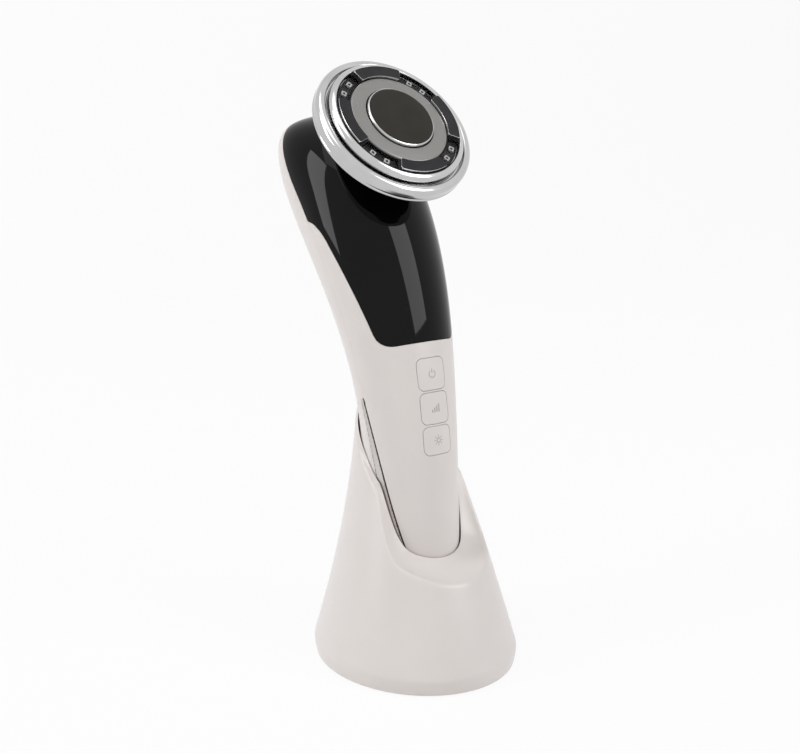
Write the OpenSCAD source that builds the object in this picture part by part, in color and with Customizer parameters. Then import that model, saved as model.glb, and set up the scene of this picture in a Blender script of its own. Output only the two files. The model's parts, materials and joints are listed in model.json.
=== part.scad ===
// Facial toning device: a leaning hand wand with a round treatment head, parked in its charging stand.
// +Z is up, the front faces -Y, X = 0 is the plane of symmetry.
// The origin is the centre of the stand's footprint, on the surface that it stands on.

/* [Handset outline] */
// Height of the handset's tail end above the table
tail_z = 15; // [14:0.5:18]
// Distance of the straight part's centre line behind the stand's centre
handset_y = 2.4; // [1.5:0.1:3.5]
// Length of the straight lower part
straight_len = 53; // [48:1:58]
// Length of the bent upper part, up to the head's widest sections
bend_len = 118; // [108:1:126]
// Angle that the bent part turns through
bend_angle = 46; // [42:1:49]
// Width of the grip
grip_w = 32.2; // [31:0.1:33]
// Width of the head
head_w = 47.2; // [44:0.2:50]
// Depth of the tail
tail_d = 39.2; // [37:0.2:40]
// Depth of the waist behind the keys
waist_d = 32.8; // [32:0.2:35]
// Depth of the head
head_d = 42.8; // [40:0.2:45]
// Place of the waist along the handset
waist_s = 80; // [76:1:86]
// Place of the head's full section along the handset
head_s = 150; // [146:1:152]
// Length of the rounded crown past the full section
crown_len = 36; // [33:0.5:38]
// Length of the tail's rounded edge
tail_round = 8; // [6:0.5:10]
// Inset of the tail's rounded edge
tail_edge = 3.5; // [2:0.25:4]

/* [Handset shells] */
// Wall of the moulded shells
shell_t = 1.8; // [1.6:0.1:2.2]
// Gap at the shells' seams
seam_gap = 0.1; // [0.06:0.02:0.2]
// Thickness of the tail cap
cap_t = 3; // [2.5:0.25:4]
// Bottom edge of the black head panel along the handset
panel_s = 95.5; // [94:0.5:97]
// Place where the panel steps out to the side seam
panel_step_s = 143; // [138:1:146]
// Angle from the side seam to the panel's lower corner
panel_corner_angle = 37; // [33:1:40]
// Corner radius of the panel's bottom edge
panel_corner_r = 4; // [3:0.5:5]
// Rise of the crown's parting line in front of the centre line, at the tip
crown_part_rise = 5; // [3:0.5:7]

/* [Hand electrodes] */
// Height of the electrode strip's upper tip
strip_top_z = 95; // [88:1:98]
// Depth coordinate of the strip's upper tip
strip_top_y = 5.2; // [4.6:0.2:6]
// Height of the strip's lower end
strip_low_z = 34; // [30:1:38]
// Lean of the strip from upright, seen from the side
strip_lean = 15.6; // [14:0.2:17]
// Width of the strip at its upper end
strip_top_w = 2.2; // [1.8:0.1:2.8]
// Width of the strip at its lower end
strip_low_w = 5.4; // [4:0.2:6]
// Thickness of the strip
strip_t = 1; // [0.8:0.1:1.2]
// Height of the strip above the shell
strip_proud = 0.1; // [0:0.05:0.15]

/* [Keys] */
// Place of the middle key along the handset
key_s = 75.2; // [72:0.2:78]
// Width of the keys
key_w = 10.9; // [9:0.1:12]
// Height of the power key
key_power_h = 10.6; // [9:0.2:11]
// Height of the level key
key_level_h = 10.4; // [9:0.2:11]
// Height of the light key
key_light_h = 9.4; // [8:0.2:10]
// Shell left between two keys, with both running gaps
key_gap = 1.1; // [1:0.1:1.4]
// Running gap round a key
key_clear = 0.25; // [0.2:0.05:0.3]
// Corner radius of a key
key_r = 2; // [1:0.2:2.4]
// Thickness of a key cap at its middle
key_t = 2.3; // [2:0.1:2.6]
// Travel of a key
key_travel = 0.4; // [0.3:0.05:0.5]
// Radius of a key's stem
key_stem_r = 1.4; // [1.2:0.1:1.6]

/* [Treatment head] */
// Place along the handset that the head's axis rises from
face_s = 155; // [152:0.5:157]
// Lean of the treatment face from upright
face_lean = 42; // [38:1:46]
// Distance from the centre line to the face
face_reach = 37.3; // [36:0.1:39]
// Diameter of the chrome bezel
bezel_d = 57; // [56:0.2:60]
// Height of the bezel from its underside to the face
bezel_h = 8.5; // [8.3:0.1:9]
// Floor of the bezel cup
bezel_floor = 1.5; // [1.2:0.1:1.8]
// Diameter of the bezel's upper step
bezel_step_d = 49.6; // [49:0.2:51]
// Diameter of the black face ring
face_ring_d = 45.2; // [44.8:0.1:46.6]
// Thickness of the face ring
face_ring_t = 1.35; // [1.2:0.05:1.5]
// Inner diameter of the electrode arcs
arc_in_d = 35.8; // [35.6:0.1:36.4]
// Outer diameter of the electrode arcs
arc_out_d = 44.6; // [43:0.1:45]
// Angle that one electrode arc covers
arc_angle = 50; // [44:1:52]
// Height of the electrode arcs above the face ring
arc_h = 1.2; // [0.8:0.1:1.6]
// Angle that one window covers
window_angle = 36; // [30:1:37]
// Angle between the two lamps of a window
lamp_angle = 15; // [12:1:17]
// Side length of a lamp
lamp_w = 1.9; // [1.4:0.1:2.2]
// Diameter of the circle that the lamps stand on
lamp_circle_d = 40.4; // [39.6:0.1:41]
// Diameter of the centre plate
plate_d = 24.4; // [23:0.2:25]
// Height of the centre plate above the face ring
plate_h = 1.9; // [1.6:0.1:2.4]
// Diameter of the neck
neck_d = 26; // [25:0.5:27]
// Wall of the neck
neck_t = 3.4; // [2.8:0.1:3.6]
// Thickness of the head's gasket
gasket_t = 0.8; // [0.6:0.1:1]

/* [Stand] */
// Width of the stand at its foot
foot_w = 68.6; // [66:0.2:72]
// Depth of the stand's sections, as a multiple of their width
stand_depth_ratio = 1.135; // [1.1:0.005:1.16]
// Height where the foot is widest
foot_z = 6; // [5:0.5:8]
// Inset of the foot's lower edge
foot_edge = 0.9; // [0.4:0.1:1.4]
// Height of the stand's rear top edge
stand_h = 92; // [88:1:94]
// Width of the stand's upper end
stand_top_w = 28.8; // [28.6:0.1:30]
// Exponent of the flare between foot and upper end
flare = 1.22; // [1.15:0.01:1.25]
// Distance that the upper end's centre lies behind the foot's
stand_lean = 9.4; // [9:0.1:10]
// Wall of the stand's moulding
stand_t = 1.8; // [1.5:0.1:2]
// Gap between the handset and the well
well_gap = 0.45; // [0.35:0.05:0.5]
// Gap between the handset's tail and the well's floor
seat_gap = 0.3; // [0.2:0.05:0.4]
// Height of the scoop's outer rim at the front
rim_front_z = 35.7; // [33:0.5:38]
// Rise of the outer rim across the scoop's bottom
rim_dip_h = 15.2; // [13:0.2:17]
// Rise of the outer rim along the scoop's side
rim_step_h = 17.3; // [16:0.1:19]
// Height of the well's edge at the front
lip_front_z = 41.4; // [40:0.1:43]
// Rise of the well's edge across the scoop's bottom
lip_dip_h = 9.4; // [8:0.2:11]
// Rise of the well's edge along the scoop's side
lip_step_h = 16.8; // [15:0.2:18]
// Height where the two walls of the moulding merge
merge_z = 58; // [50:1:59]

/* [Stand fittings] */
// Height of the moulding's lower edge above the table
shell_lift = 0.6; // [0.4:0.1:1]
// Thickness of the base plate
base_t = 2; // [1.6:0.1:2.4]
// Depth of the pad's recess in the base plate
pad_seat = 0.5; // [0.3:0.1:0.8]
// Width of the rubber pad
pad_w = 36; // [30:1:38]
// Thickness of the ballast ring
ballast_t = 6; // [4:0.5:7]
// Width of the ballast ring
ballast_w = 46; // [42:1:47]
// Thickness of the socket's floor plate
floor_t = 2; // [1.6:0.1:2.2]
// Distance between the two charging pins
pin_pitch = 10; // [8:0.5:12]
// Radius of a charging pin
pin_r = 1; // [0.8:0.05:1.2]
// Travel of the charging pins
pin_travel = 0.8; // [0.6:0.1:1]
// Radial running clearance of pins and shafts
run_clear = 0.05; // [0.03:0.01:0.08]
// Width of the power inlet
inlet_w = 9; // [8.4:0.1:10]
// Height of the power inlet
inlet_h = 3.3; // [3:0.1:3.8]
// Depth of the power inlet
inlet_len = 8; // [7:0.5:9]

/* [Inner parts] */
// Thickness of the circuit boards
board_t = 1.6; // [1:0.1:1.8]
// Radius of the battery cell
cell_r = 7.1; // [6:0.1:7.2]
// Length of the battery cell
cell_len = 50; // [44:1:51]
// Distance of the cell's axis behind the handset's centre line
cell_back = 6.5; // [6:0.1:6.8]
// Wall of the inner frame in front of the cell
frame_wall = 1.2; // [1:0.1:1.6]
// Depth of the inner frame behind the cell's axis
frame_hold = 3.1; // [2.6:0.1:3.6]
// Width of the inner frame
frame_w = 22; // [20:0.5:22.5]
// Radius of the motor can
motor_r = 5; // [4:0.1:5.5]
// Length of the motor can
motor_len = 16; // [12:0.5:17]
// Radius of the motor shaft
shaft_r = 0.75; // [0.6:0.05:1]
// Radius of the screws' shanks
screw_r = 0.95; // [0.8:0.05:1.1]

/* [Hidden] */

$fn = 64;
seat = 0.05;            // gap between faces that rest on each other
over = 1;               // how far a cut runs past the faces that it opens
white = "#dcd6d3";
black = "#0b0b0b";
chrome = "#c8c8cc";
satin = "#96968f";
brass = "#c9a24a";
board_green = "#1d5a35";

// Smooth step from 0 to 1, and a value between two others
function smooth(t) = let (u = max(0, min(1, t))) u * u * (3 - 2 * u);
function mix(a, b, t) = a + (b - a) * t;

// ---------------------------------------------------------------- handset outline
// s runs along the centre line from the tail end; the upper part bends back on one arc.

bend_r = bend_len / (bend_angle * PI / 180);
grip_s = 50;            // the handset starts to widen here
tail_s = 25;            // the handset starts to thin here
crown_w_power = 3.4;    // exponent of the crown's outline, seen from the front
crown_d_power = 1.8;    // exponent of the crown's outline, seen from the side
tip_s = head_s + crown_len;
body_cols = 48;
body_rows = 18;
crown_rows = 8;
tail_rows = 3;

function lean(s) = bend_angle * max(0, s - straight_len) / bend_len;
function spine_y(s) = handset_y + bend_r * (1 - cos(lean(s)));
function spine_z(s) = tail_z + min(s, straight_len) + bend_r * sin(lean(s));
function half_w(s) = mix(grip_w, head_w, smooth((s - grip_s) / (head_s - grip_s))) / 2;
function half_d(s) = s < waist_s
    ? mix(tail_d, waist_d, smooth((s - tail_s) / (waist_s - tail_s))) / 2
    : mix(waist_d, head_d, smooth((s - waist_s) / (head_s - waist_s))) / 2;

// Share of the full section that is left along the crown
function crown_share(s, power) = s <= head_s ? 1
    : pow(max(0, 1 - pow((s - head_s) / crown_len, power)), 1 / power);

// Point at the given distance in front of the centre line, in the plane of symmetry
function ahead(s, forward) = [spine_y(s) - forward * cos(lean(s)), spine_z(s) + forward * sin(lean(s))];

// One oval section; the angle runs from the -X side over the front to the +X side
function section(s, w, d) = [
    for (k = [0 : body_cols - 1])
        let (a = 360 * k / body_cols, p = ahead(s, d * sin(a))) [-w * cos(a), p[0], p[1]]
];
function body_section(s, inset) = section(s, half_w(s) - inset, half_d(s) - inset);

// Sections of the rounded tail, the body and the crown, each inset from the outer surface
function tail_sections(inset) = [
    for (k = [0 : tail_rows - 1])
        let (a = 90 * k / tail_rows)
        body_section(tail_round * (1 - cos(a)), inset + tail_edge * (1 - sin(a)))
];
function body_sections(inset, start) = [
    for (k = [0 : body_rows]) body_section(mix(start, head_s, k / body_rows), inset)
];
function crown_sections(inset) = [
    for (k = [1 : crown_rows - 1])
        let (share = pow(sin(90 * k / crown_rows), 0.7), s = mix(head_s, tip_s, share))
        section(mix(head_s, tip_s - inset, share),
                (half_w(s) - inset) * crown_share(s, crown_w_power),
                (half_d(s) - inset) * crown_share(s, crown_d_power))
];

// Closed solid through a list of sections, closed by a flat end below and a tip above
module loft(rings, low, tip) {
    cols = len(rings[0]);
    count = len(rings);
    low_at = count * cols;
    points = [for (ring = rings) each ring, low, tip];
    sides = [
        for (i = [0 : count - 2], k = [0 : cols - 1])
            let (n = (k + 1) % cols, a = i * cols, b = a + cols)
            each [[a + k, b + k, b + n], [a + k, b + n, a + n]]
    ];
    ends = [
        for (k = [0 : cols - 1])
            let (n = (k + 1) % cols, top = low_at - cols)
            each [[low_at, k, n], [low_at + 1, top + n, top + k]]
    ];
    polyhedron(points, concat(sides, ends), convexity = 4);
}

// The handset's whole outer form, inset all round
module handset_form(inset = 0) {
    tip = ahead(tip_s - inset, 0);
    loft(concat(tail_sections(inset), body_sections(inset, tail_round), crown_sections(inset)),
         [0, spine_y(0), spine_z(0)], [0, tip[0], tip[1]]);
}

// The cavity above the tail cap
module handset_cavity(inset = shell_t) {
    tip = ahead(tip_s - inset, 0);
    loft(concat(body_sections(inset, cap_t), crown_sections(inset)),
         [0, spine_y(cap_t), spine_z(cap_t)], [0, tip[0], tip[1]]);
}

module handset_wall() {
    difference() {
        handset_form();
        handset_cavity();
    }
}

// Local frame on the centre line: -Y points out of the front, +Z towards the head
module on_spine(s) {
    translate([0, spine_y(s), spine_z(s)]) rotate([-lean(s), 0, 0]) children();
}

// Extrudes an outline drawn in the side view across the handset
module side_cut(outline, wide = 80) {
    rotate([90, 0, 90]) translate([0, 0, -wide / 2]) linear_extrude(wide) polygon(outline);
}

// ---------------------------------------------------------------- shell seams, in the side view

part_start_s = 155;     // the crown's parting line leaves the side seam here
part_power = 2;
seam_steps = 24;
reach_out = 40;         // how far the cutters reach outside the body

// The parting line follows the sides and rises gently on the crown
function seam_point(s, gap) =
    let (t = max(0, s - part_start_s) / (tip_s - part_start_s))
    ahead(s, crown_part_rise * pow(t, part_power) + gap);

// Angle of the panel's lower outline: a flare with a rounded step at the top and a rounded foot
panel_side_angle = 10;
step_share = 0.2;       // share of the flare that the rounded step takes
flare_power = 1.2;
foot_turn_angle = 17;   // how far the rounded foot turns towards the front
function flare_share(s) = (panel_step_s - s) / (panel_step_s - panel_s);
function panel_angle(s) =
    let (t = flare_share(s), u = min(1, t / step_share))
    let (c = max(0, panel_s + panel_corner_r - s) / panel_corner_r)
    mix(panel_side_angle, panel_corner_angle, pow(t, flare_power)) * sqrt(1 - pow(1 - u, 2))
    + foot_turn_angle * (1 - sqrt(1 - c * c));
function panel_point(s, gap) = ahead(s, half_d(s) * sin(panel_angle(s)) + gap);

// Everything in front of the seam
module front_zone(gap) {
    seam = [for (k = [0 : seam_steps]) seam_point(mix(-5, tip_s, k / seam_steps), gap)];
    top = ahead(tip_s + 10, 2 * crown_part_rise);
    side_cut(concat(seam, [top, top + [-reach_out, reach_out / 2],
                           [-reach_out, spine_z(head_s)], [-reach_out, 0]]));
}

// Everything in front of the panel's outline and of the seam above the step
module panel_zone(gap) {
    foot = ahead(panel_s - gap, reach_out);
    flank = [for (k = [0 : 16]) let (s = mix(panel_s, panel_step_s, pow(k / 16, 1.3))) panel_point(s, -gap)
             + (k == 0 ? [0, -gap] : [0, 0])];
    upper = [for (k = [0 : seam_steps]) seam_point(mix(panel_step_s - gap, tip_s, k / seam_steps), -gap)];
    top = ahead(tip_s + 10, 2 * crown_part_rise - gap);
    side_cut(concat([foot], flank, upper, [top, top + [-reach_out, reach_out / 2]]));
}

// Band of the hand electrode, seen from the side
module strip_zone(gap) {
    run = strip_top_z - strip_low_z;
    low_y = strip_top_y - run * tan(strip_lean);
    side_cut([
        [strip_top_y - strip_top_w / 2 - gap, strip_top_z - strip_top_w + gap],
        [strip_top_y, strip_top_z + gap],
        [strip_top_y + strip_top_w / 2 + gap, strip_top_z - strip_top_w + gap],
        [low_y + strip_low_w / 2 + gap, strip_low_z - gap],
        [low_y - strip_low_w / 2 - gap, strip_low_z - gap]
    ]);
}

// ---------------------------------------------------------------- keys

key_depth = half_d(key_s);
carrier_front = key_depth - key_t - 2;
carrier_t = 1.2;
board_front = carrier_front - carrier_t - 1.6;
switch_h = 1.2;
press_gap = key_travel + 0.1;
key_power_z = (key_level_h + key_power_h) / 2 + key_gap;
key_light_z = -(key_level_h + key_light_h) / 2 - key_gap;
key_places = [key_power_z, 0, key_light_z];
post_x = 8;
post_z = 16.4;
post_r = 1.8;

// Rounded block through the front wall, grown by the running gap
module key_block(z, h, grow, back, front) {
    r = key_r + grow;
    x = key_w / 2 + grow - r;
    y = h / 2 + grow - r;
    on_spine(key_s) translate([0, -back, z]) rotate([90, 0, 0]) linear_extrude(front - back) {
        square([2 * (x + r), 2 * y], center = true);
        square([2 * x, 2 * (y + r)], center = true);
        for (i = [-1, 1], j = [-1, 1]) translate([i * x, j * y]) circle(r);
    }
}

module key_cap(z, h) {
    color(white) union() {
        intersection() {
            key_block(z, h, 0, key_depth - key_t, key_depth + 2);
            handset_form();
        }
        on_spine(key_s) translate([0, -(key_depth - key_t) - 0.2, z]) rotate([-90, 0, 0])
            cylinder(r = key_stem_r, h = key_depth - key_t + 0.2 - board_front - switch_h - press_gap);
    }
}

module key_power() { key_cap(key_power_z, key_power_h); }
module key_level() { key_cap(0, key_level_h); }
module key_light() { key_cap(key_light_z, key_light_h); }

key_board_w = 20;
key_board_h = 37;
carrier_h = 26.8;

// Plate behind the caps that guides their stems
module key_carrier() {
    color("#3a3a3a") difference() {
        intersection() {
            on_spine(key_s) translate([-key_board_w / 2, -carrier_front, -carrier_h / 2])
                cube([key_board_w, carrier_t, carrier_h]);
            handset_cavity(shell_t + 0.15);
        }
        on_spine(key_s) for (z = key_places)
            translate([0, -carrier_front - over, z]) rotate([-90, 0, 0])
                cylinder(r = key_stem_r + key_clear, h = carrier_t + 2 * over);
    }
}

module key_board() {
    color(board_green) on_spine(key_s) translate([-key_board_w / 2, -board_front, -key_board_h / 2])
        cube([key_board_w, board_t, key_board_h]);
}

module tact_switches() {
    w = 5.2;
    body_h = 0.7;
    color("#b9b9bd") on_spine(key_s) for (z = key_places) {
        translate([-w / 2, -board_front - body_h, z - w / 2]) cube([w, body_h - 0.01, w]);
        translate([0, -board_front - switch_h, z]) rotate([-90, 0, 0]) cylinder(r = 1, h = switch_h - 0.5);
    }
}

// ---------------------------------------------------------------- inner frame, battery and boards

frame_s = 12;
frame_end = 5;          // length of the solid ends that take the screws
frame_len = cell_len + 2 * frame_end + 1;
cell_y = handset_y + cell_back;
frame_front_y = cell_y - cell_r - frame_wall;
frame_back_y = cell_y + frame_hold;
cell_z = tail_z + frame_s + frame_end + 0.5;
frame_screw_x = 8.4;
frame_screw_z = [tail_z + frame_s + frame_end / 2, tail_z + frame_s + frame_len - frame_end / 2];
screw_head_r = 2;
screw_head_h = 1.3;
screw_len = frame_back_y - frame_front_y + 2;
boss_r = 2.6;

module at_frame_screws() {
    for (x = [-frame_screw_x, frame_screw_x], z = frame_screw_z)
        translate([x, frame_front_y, z]) rotate([-90, 0, 0]) children();
}

module inner_frame() {
    color("#4a4c50") difference() {
        translate([-frame_w / 2, frame_front_y, tail_z + frame_s])
            cube([frame_w, frame_back_y - frame_front_y, frame_len]);
        translate([0, cell_y, cell_z - 0.1]) cylinder(r = cell_r + 0.1, h = cell_len + 0.2);
        translate([-cell_r - 0.1, cell_y, cell_z - 0.1])
            cube([2 * (cell_r + 0.1), frame_back_y, cell_len + 0.2]);
        at_frame_screws() translate([0, 0, -over])
            cylinder(r = screw_r + run_clear, h = frame_back_y - frame_front_y + 2 * over);
    }
}

module battery_cell() {
    color("#2f62a8") translate([0, cell_y, cell_z]) {
        cylinder(r = cell_r, h = cell_len - 1.2);
        cylinder(r = 2.8, h = cell_len);
    }
}

module frame_screws() {
    color(chrome) at_frame_screws() {
        translate([0, 0, -screw_head_h - seat]) cylinder(r = screw_head_r, h = screw_head_h);
        translate([0, 0, -screw_head_h]) cylinder(r = screw_r, h = screw_len + screw_head_h);
    }
}

board_edge = 2.5;       // from a screw's head to the main board
main_board_s = frame_s + frame_end / 2 + screw_head_r + board_edge;
main_board_len = frame_len - frame_end - 2 * (screw_head_r + board_edge);
main_board_w = frame_w - 1;

// Chip on the main board; place and size are shares of the board, its height of the board's thickness
module board_chip(x, z, w, h, t) {
    translate([x * main_board_w, -t * board_t, z * main_board_len])
        cube([w * main_board_w, t * board_t, h * main_board_len]);
}

module main_board() {
    color(board_green) translate([0, frame_front_y - seat - board_t, tail_z + main_board_s]) {
        translate([-main_board_w / 2, 0, 0]) cube([main_board_w, board_t, main_board_len]);
        board_chip(-0.24, 0.43, 0.33, 0.15, 0.6);
        board_chip(-0.33, 0.13, 0.29, 0.13, 1.6);
        board_chip(0.14, 0.17, 0.19, 0.11, 0.9);
        board_chip(-0.29, 0.74, 0.43, 0.08, 1.1);
    }
}

// ---------------------------------------------------------------- treatment head
// Local frame of the face: +Z is the face's normal, z = 0 is the black ring's surface.

face_y = spine_y(face_s) - face_reach * cos(face_lean);
face_z = spine_z(face_s) + face_reach * sin(face_lean);
neck_r = neck_d / 2;
neck_top = -bezel_h - gasket_t - 2 * seat;
neck_low = -24.5;
plate_r = plate_d / 2;
arc_in_r = arc_in_d / 2;
arc_out_r = arc_out_d / 2;
ring_r = face_ring_d / 2;
step_r = bezel_step_d / 2;
bezel_r = bezel_d / 2;
rim_w = step_r - ring_r;
flange_w = bezel_r - step_r;
cup_r = ring_r - 0.4;
flange_top = -1.9;
flange_low = -7;
floor_top = -bezel_h + bezel_floor;
sink_r = neck_r - neck_t - 0.6;

module on_face() {
    translate([0, face_y, face_z]) rotate([90 - face_lean, 0, 0]) children();
}

// Sector of a ring between two heights, centred on an angle
module ring_sector(r_in, r_out, low, high, angle, wide) {
    translate([0, 0, low]) rotate([0, 0, angle - wide / 2]) rotate_extrude(angle = wide, $fn = 96)
        translate([r_in, 0]) square([r_out - r_in, high - low]);
}

// The flange and the rim round off in shares of the widths that they have
module head_bezel() {
    edge = flange_w / 4;
    groove = flange_w / 8;
    color(chrome) on_face() rotate_extrude($fn = 96) difference() {
        polygon([
            [0, -bezel_h], [bezel_r - 4, -bezel_h], [bezel_r - 1, flange_low - 0.4],
            [bezel_r, flange_low + edge], [bezel_r, flange_top - edge],
            [bezel_r - edge / 3, flange_top - edge / 3], [bezel_r - edge, flange_top],
            [step_r + groove, flange_top - 0.5], [step_r, flange_top - 0.9], [step_r, -0.9],
            [step_r - rim_w / 6, -0.35], [ring_r + 0.4 * rim_w, 0.2],
            [ring_r + 0.2 * rim_w, 0.3], [ring_r, 0.2], [0, 0.2]
        ]);
        translate([0, -bezel_h - over]) square([sink_r + 0.3, 2 * bezel_h]);
        translate([0, floor_top]) square([cup_r, 2 * bezel_h]);
        translate([0, -face_ring_t - seat]) square([ring_r + 0.1, bezel_h]);
    }
}

carrier_top = -face_ring_t - seat - board_t + 0.4 - seat;
disc_t = 1.2;

// Plastic disc in the cup that carries the lamp board and the centre ring
module face_carrier() {
    color("#1c1c1e") on_face() difference() {
        union() {
            translate([0, 0, carrier_top - disc_t]) cylinder(r = cup_r - 0.2, h = disc_t);
            translate([0, 0, floor_top + seat])
                cylinder(r = cup_r - 0.2, h = carrier_top - disc_t - floor_top);
        }
        translate([0, 0, floor_top - over]) cylinder(r = sink_r + 3, h = 20);
        translate([0, 0, floor_top - over])
            cylinder(r = cup_r - 2.4, h = carrier_top - disc_t - floor_top + over);
    }
}

board_in_r = arc_in_r - 0.9;

module led_board() {
    color("#101214") on_face() translate([0, 0, carrier_top + seat]) difference() {
        cylinder(r = cup_r - 0.15, h = board_t - 0.4 - seat);
        translate([0, 0, -over]) cylinder(r = board_in_r, h = 10);
    }
}

window_angles = [45, 135, 225, 315];
arc_angles = [0, 90, 180, 270];
window_in_r = arc_in_r + 0.4;
window_out_r = ring_r - 0.25;
lamp_r = lamp_circle_d / 2;
lamp_t = 0.75;

module face_ring() {
    color(black) on_face() difference() {
        translate([0, 0, -face_ring_t]) cylinder(r = ring_r, h = face_ring_t, $fn = 96);
        translate([0, 0, -face_ring_t - over]) cylinder(r = arc_in_r, h = 10, $fn = 96);
        for (a = window_angles)
            ring_sector(window_in_r, window_out_r, -face_ring_t - over, over, a, window_angle);
    }
}

// Clear covers over the lamps, level with the black ring
module led_windows() {
    color("#20242a", 0.5) on_face() for (a = window_angles)
        ring_sector(window_in_r + seat, window_out_r - seat, -0.55, -0.02, a, window_angle - 0.4);
}

module led_chips() {
    color("#e8e8e0") on_face() for (a = window_angles, side = [-1, 1])
        rotate([0, 0, a + side * lamp_angle / 2])
            translate([lamp_r - lamp_w / 2, -lamp_w / 2, -face_ring_t - seat])
                cube([lamp_w, lamp_w, lamp_t]);
}

module electrode_arcs() {
    color(chrome) on_face() for (a = arc_angles)
        ring_sector(arc_in_r + seat, arc_out_r, 0.02, arc_h, a, arc_angle);
}

// Pale ring between the arcs and the centre plate, rising slightly inwards
module contact_ring() {
    in_r = plate_r + 0.3;
    out_r = arc_in_r - 0.15;
    color(satin) on_face() rotate_extrude($fn = 96) polygon([
        [in_r, carrier_top + seat], [board_in_r - 0.15, carrier_top + seat],
        [board_in_r - 0.15, -face_ring_t + 0.1], [out_r, -face_ring_t + 0.1], [out_r, 0.15],
        [out_r - 0.3, 0.4], [in_r + 0.3, 0.95], [in_r, 0.8]
    ]);
}

plate_low = -0.2;
cooler_low = -3.4;      // underside of the cooling module
cooler_w = 14.4;
sink_low = -17;         // tips of the heat sink's fins
fin_count = 5;
fin_gap = 1.2;

module contact_plate() {
    r = plate_r;
    color("#34312b") on_face() rotate_extrude($fn = 96) polygon([
        [0, plate_low], [r - 0.6, plate_low], [r, 0.4], [r, plate_h - 0.5], [r - 0.5, plate_h - 0.05],
        [r - 0.8, plate_h], [0, plate_h]
    ]);
}

module peltier_module() {
    color("#d8d4cc") on_face() translate([-cooler_w / 2, -cooler_w / 2, cooler_low])
        cube([cooler_w, cooler_w, plate_low - seat - cooler_low]);
}

// Finned aluminium sink below the cooling module
module heat_sink() {
    top = cooler_low - seat;
    pitch = 2 * sink_r / fin_count;
    color("#b4b6ba") on_face() difference() {
        union() {
            translate([0, 0, floor_top + seat]) cylinder(r = sink_r + 2.2, h = top - floor_top - seat);
            translate([0, 0, sink_low]) cylinder(r = sink_r, h = top - sink_low);
        }
        for (k = [0 : fin_count - 1])
            translate([-sink_r - over, -sink_r + (k + 0.5) * pitch - fin_gap / 2, sink_low - over])
                cube([2 * (sink_r + over), fin_gap, -bezel_h - sink_low + over]);
    }
}

module head_gasket() {
    color("#26262a") on_face() translate([0, 0, -bezel_h - seat - gasket_t]) difference() {
        cylinder(r = neck_r - 0.4, h = gasket_t);
        translate([0, 0, -over]) cylinder(r = neck_r - neck_t + 0.4, h = gasket_t + 2 * over);
    }
}

module head_neck() {
    color(black) on_face() translate([0, 0, neck_low]) difference() {
        cylinder(r = neck_r, h = neck_top - neck_low);
        translate([0, 0, -over]) cylinder(r = neck_r - neck_t, h = 40);
    }
}

motor_h = -37;
bracket_x = 9;          // half width and half depth of the bracket

// Post between the rear shell and the neck, bored across for the motor
module head_bracket() {
    color("#4a4c50") difference() {
        intersection() {
            on_face() translate([-bracket_x, -bracket_x, -2 * face_reach])
                cube([2 * bracket_x, 2 * bracket_x, 2 * face_reach + neck_low - seat]);
            handset_cavity(shell_t + 0.1);
        }
        on_face() translate([-30, 0, motor_h]) rotate([0, 90, 0]) cylinder(r = motor_r + 0.02, h = 60);
        on_face() translate([0, 0, motor_h + motor_r + 1.4]) cylinder(r = neck_r - neck_t - 2, h = 30);
    }
}

module motor_can() {
    color(chrome) on_face() translate([-motor_len / 2, 0, motor_h]) rotate([0, 90, 0]) difference() {
        union() {
            cylinder(r = motor_r, h = motor_len);
            cylinder(r = 1.8, h = motor_len + 0.8);
        }
        translate([0, 0, 2]) cylinder(r = shaft_r + run_clear, h = motor_len);
    }
}

// Shaft with its off-centre weight
module motor_rotor() {
    start = motor_len / 2 + 1.2;
    color("#8c8f94") on_face() translate([0, 0, motor_h]) rotate([0, 90, 0]) {
        translate([0, 0, -motor_len / 2 + 2.5]) cylinder(r = shaft_r, h = motor_len - 2.5 + 4.5);
        translate([0, 0, start]) difference() {
            cylinder(r = motor_r - 0.6, h = 3.2);
            translate([-10, 1.6, -over]) cube([20, 10, 10]);
        }
    }
}

// Flat cable that runs up the bend from the key board to the head bracket
module head_cable() {
    start = key_s + key_board_h / 2 + 0.8;
    finish = face_s - 9.2;
    cable_t = 0.9;
    cable_w = 8;
    color("#c7c2b4") translate([0, handset_y + bend_r, tail_z + straight_len]) rotate([90, 0, -90])
        rotate([0, 0, lean(start)]) rotate_extrude(angle = lean(finish) - lean(start), $fn = 180)
            translate([bend_r + board_front - board_t, -cable_w / 2]) square([cable_t, cable_w]);
}

// ---------------------------------------------------------------- handset shells

// Everything below the tail cap's seam
module cap_zone(gap) {
    translate([-reach_out, handset_y - reach_out, tail_z - over])
        cube([2 * reach_out, 2 * reach_out, cap_t + gap + over]);
}

module strip_cutters() {
    difference() {
        strip_zone(seam_gap);
        handset_form(strip_t + seam_gap);
    }
}

module front_shell() {
    color(white) difference() {
        union() {
            intersection() {
                handset_wall();
                front_zone(seam_gap / 2);
            }
            intersection() {
                on_spine(key_s) for (x = [-post_x, post_x], z = [-post_z, post_z])
                    translate([x, -board_front - seat, z]) rotate([90, 0, 0]) cylinder(r = post_r, h = 20);
                handset_form(shell_t / 2);
            }
        }
        cap_zone(seat);
        panel_zone(seam_gap);
        strip_cutters();
        key_block(key_power_z, key_power_h, key_clear, board_front, key_depth + 5);
        key_block(0, key_level_h, key_clear, board_front, key_depth + 5);
        key_block(key_light_z, key_light_h, key_clear, board_front, key_depth + 5);
    }
}

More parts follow.
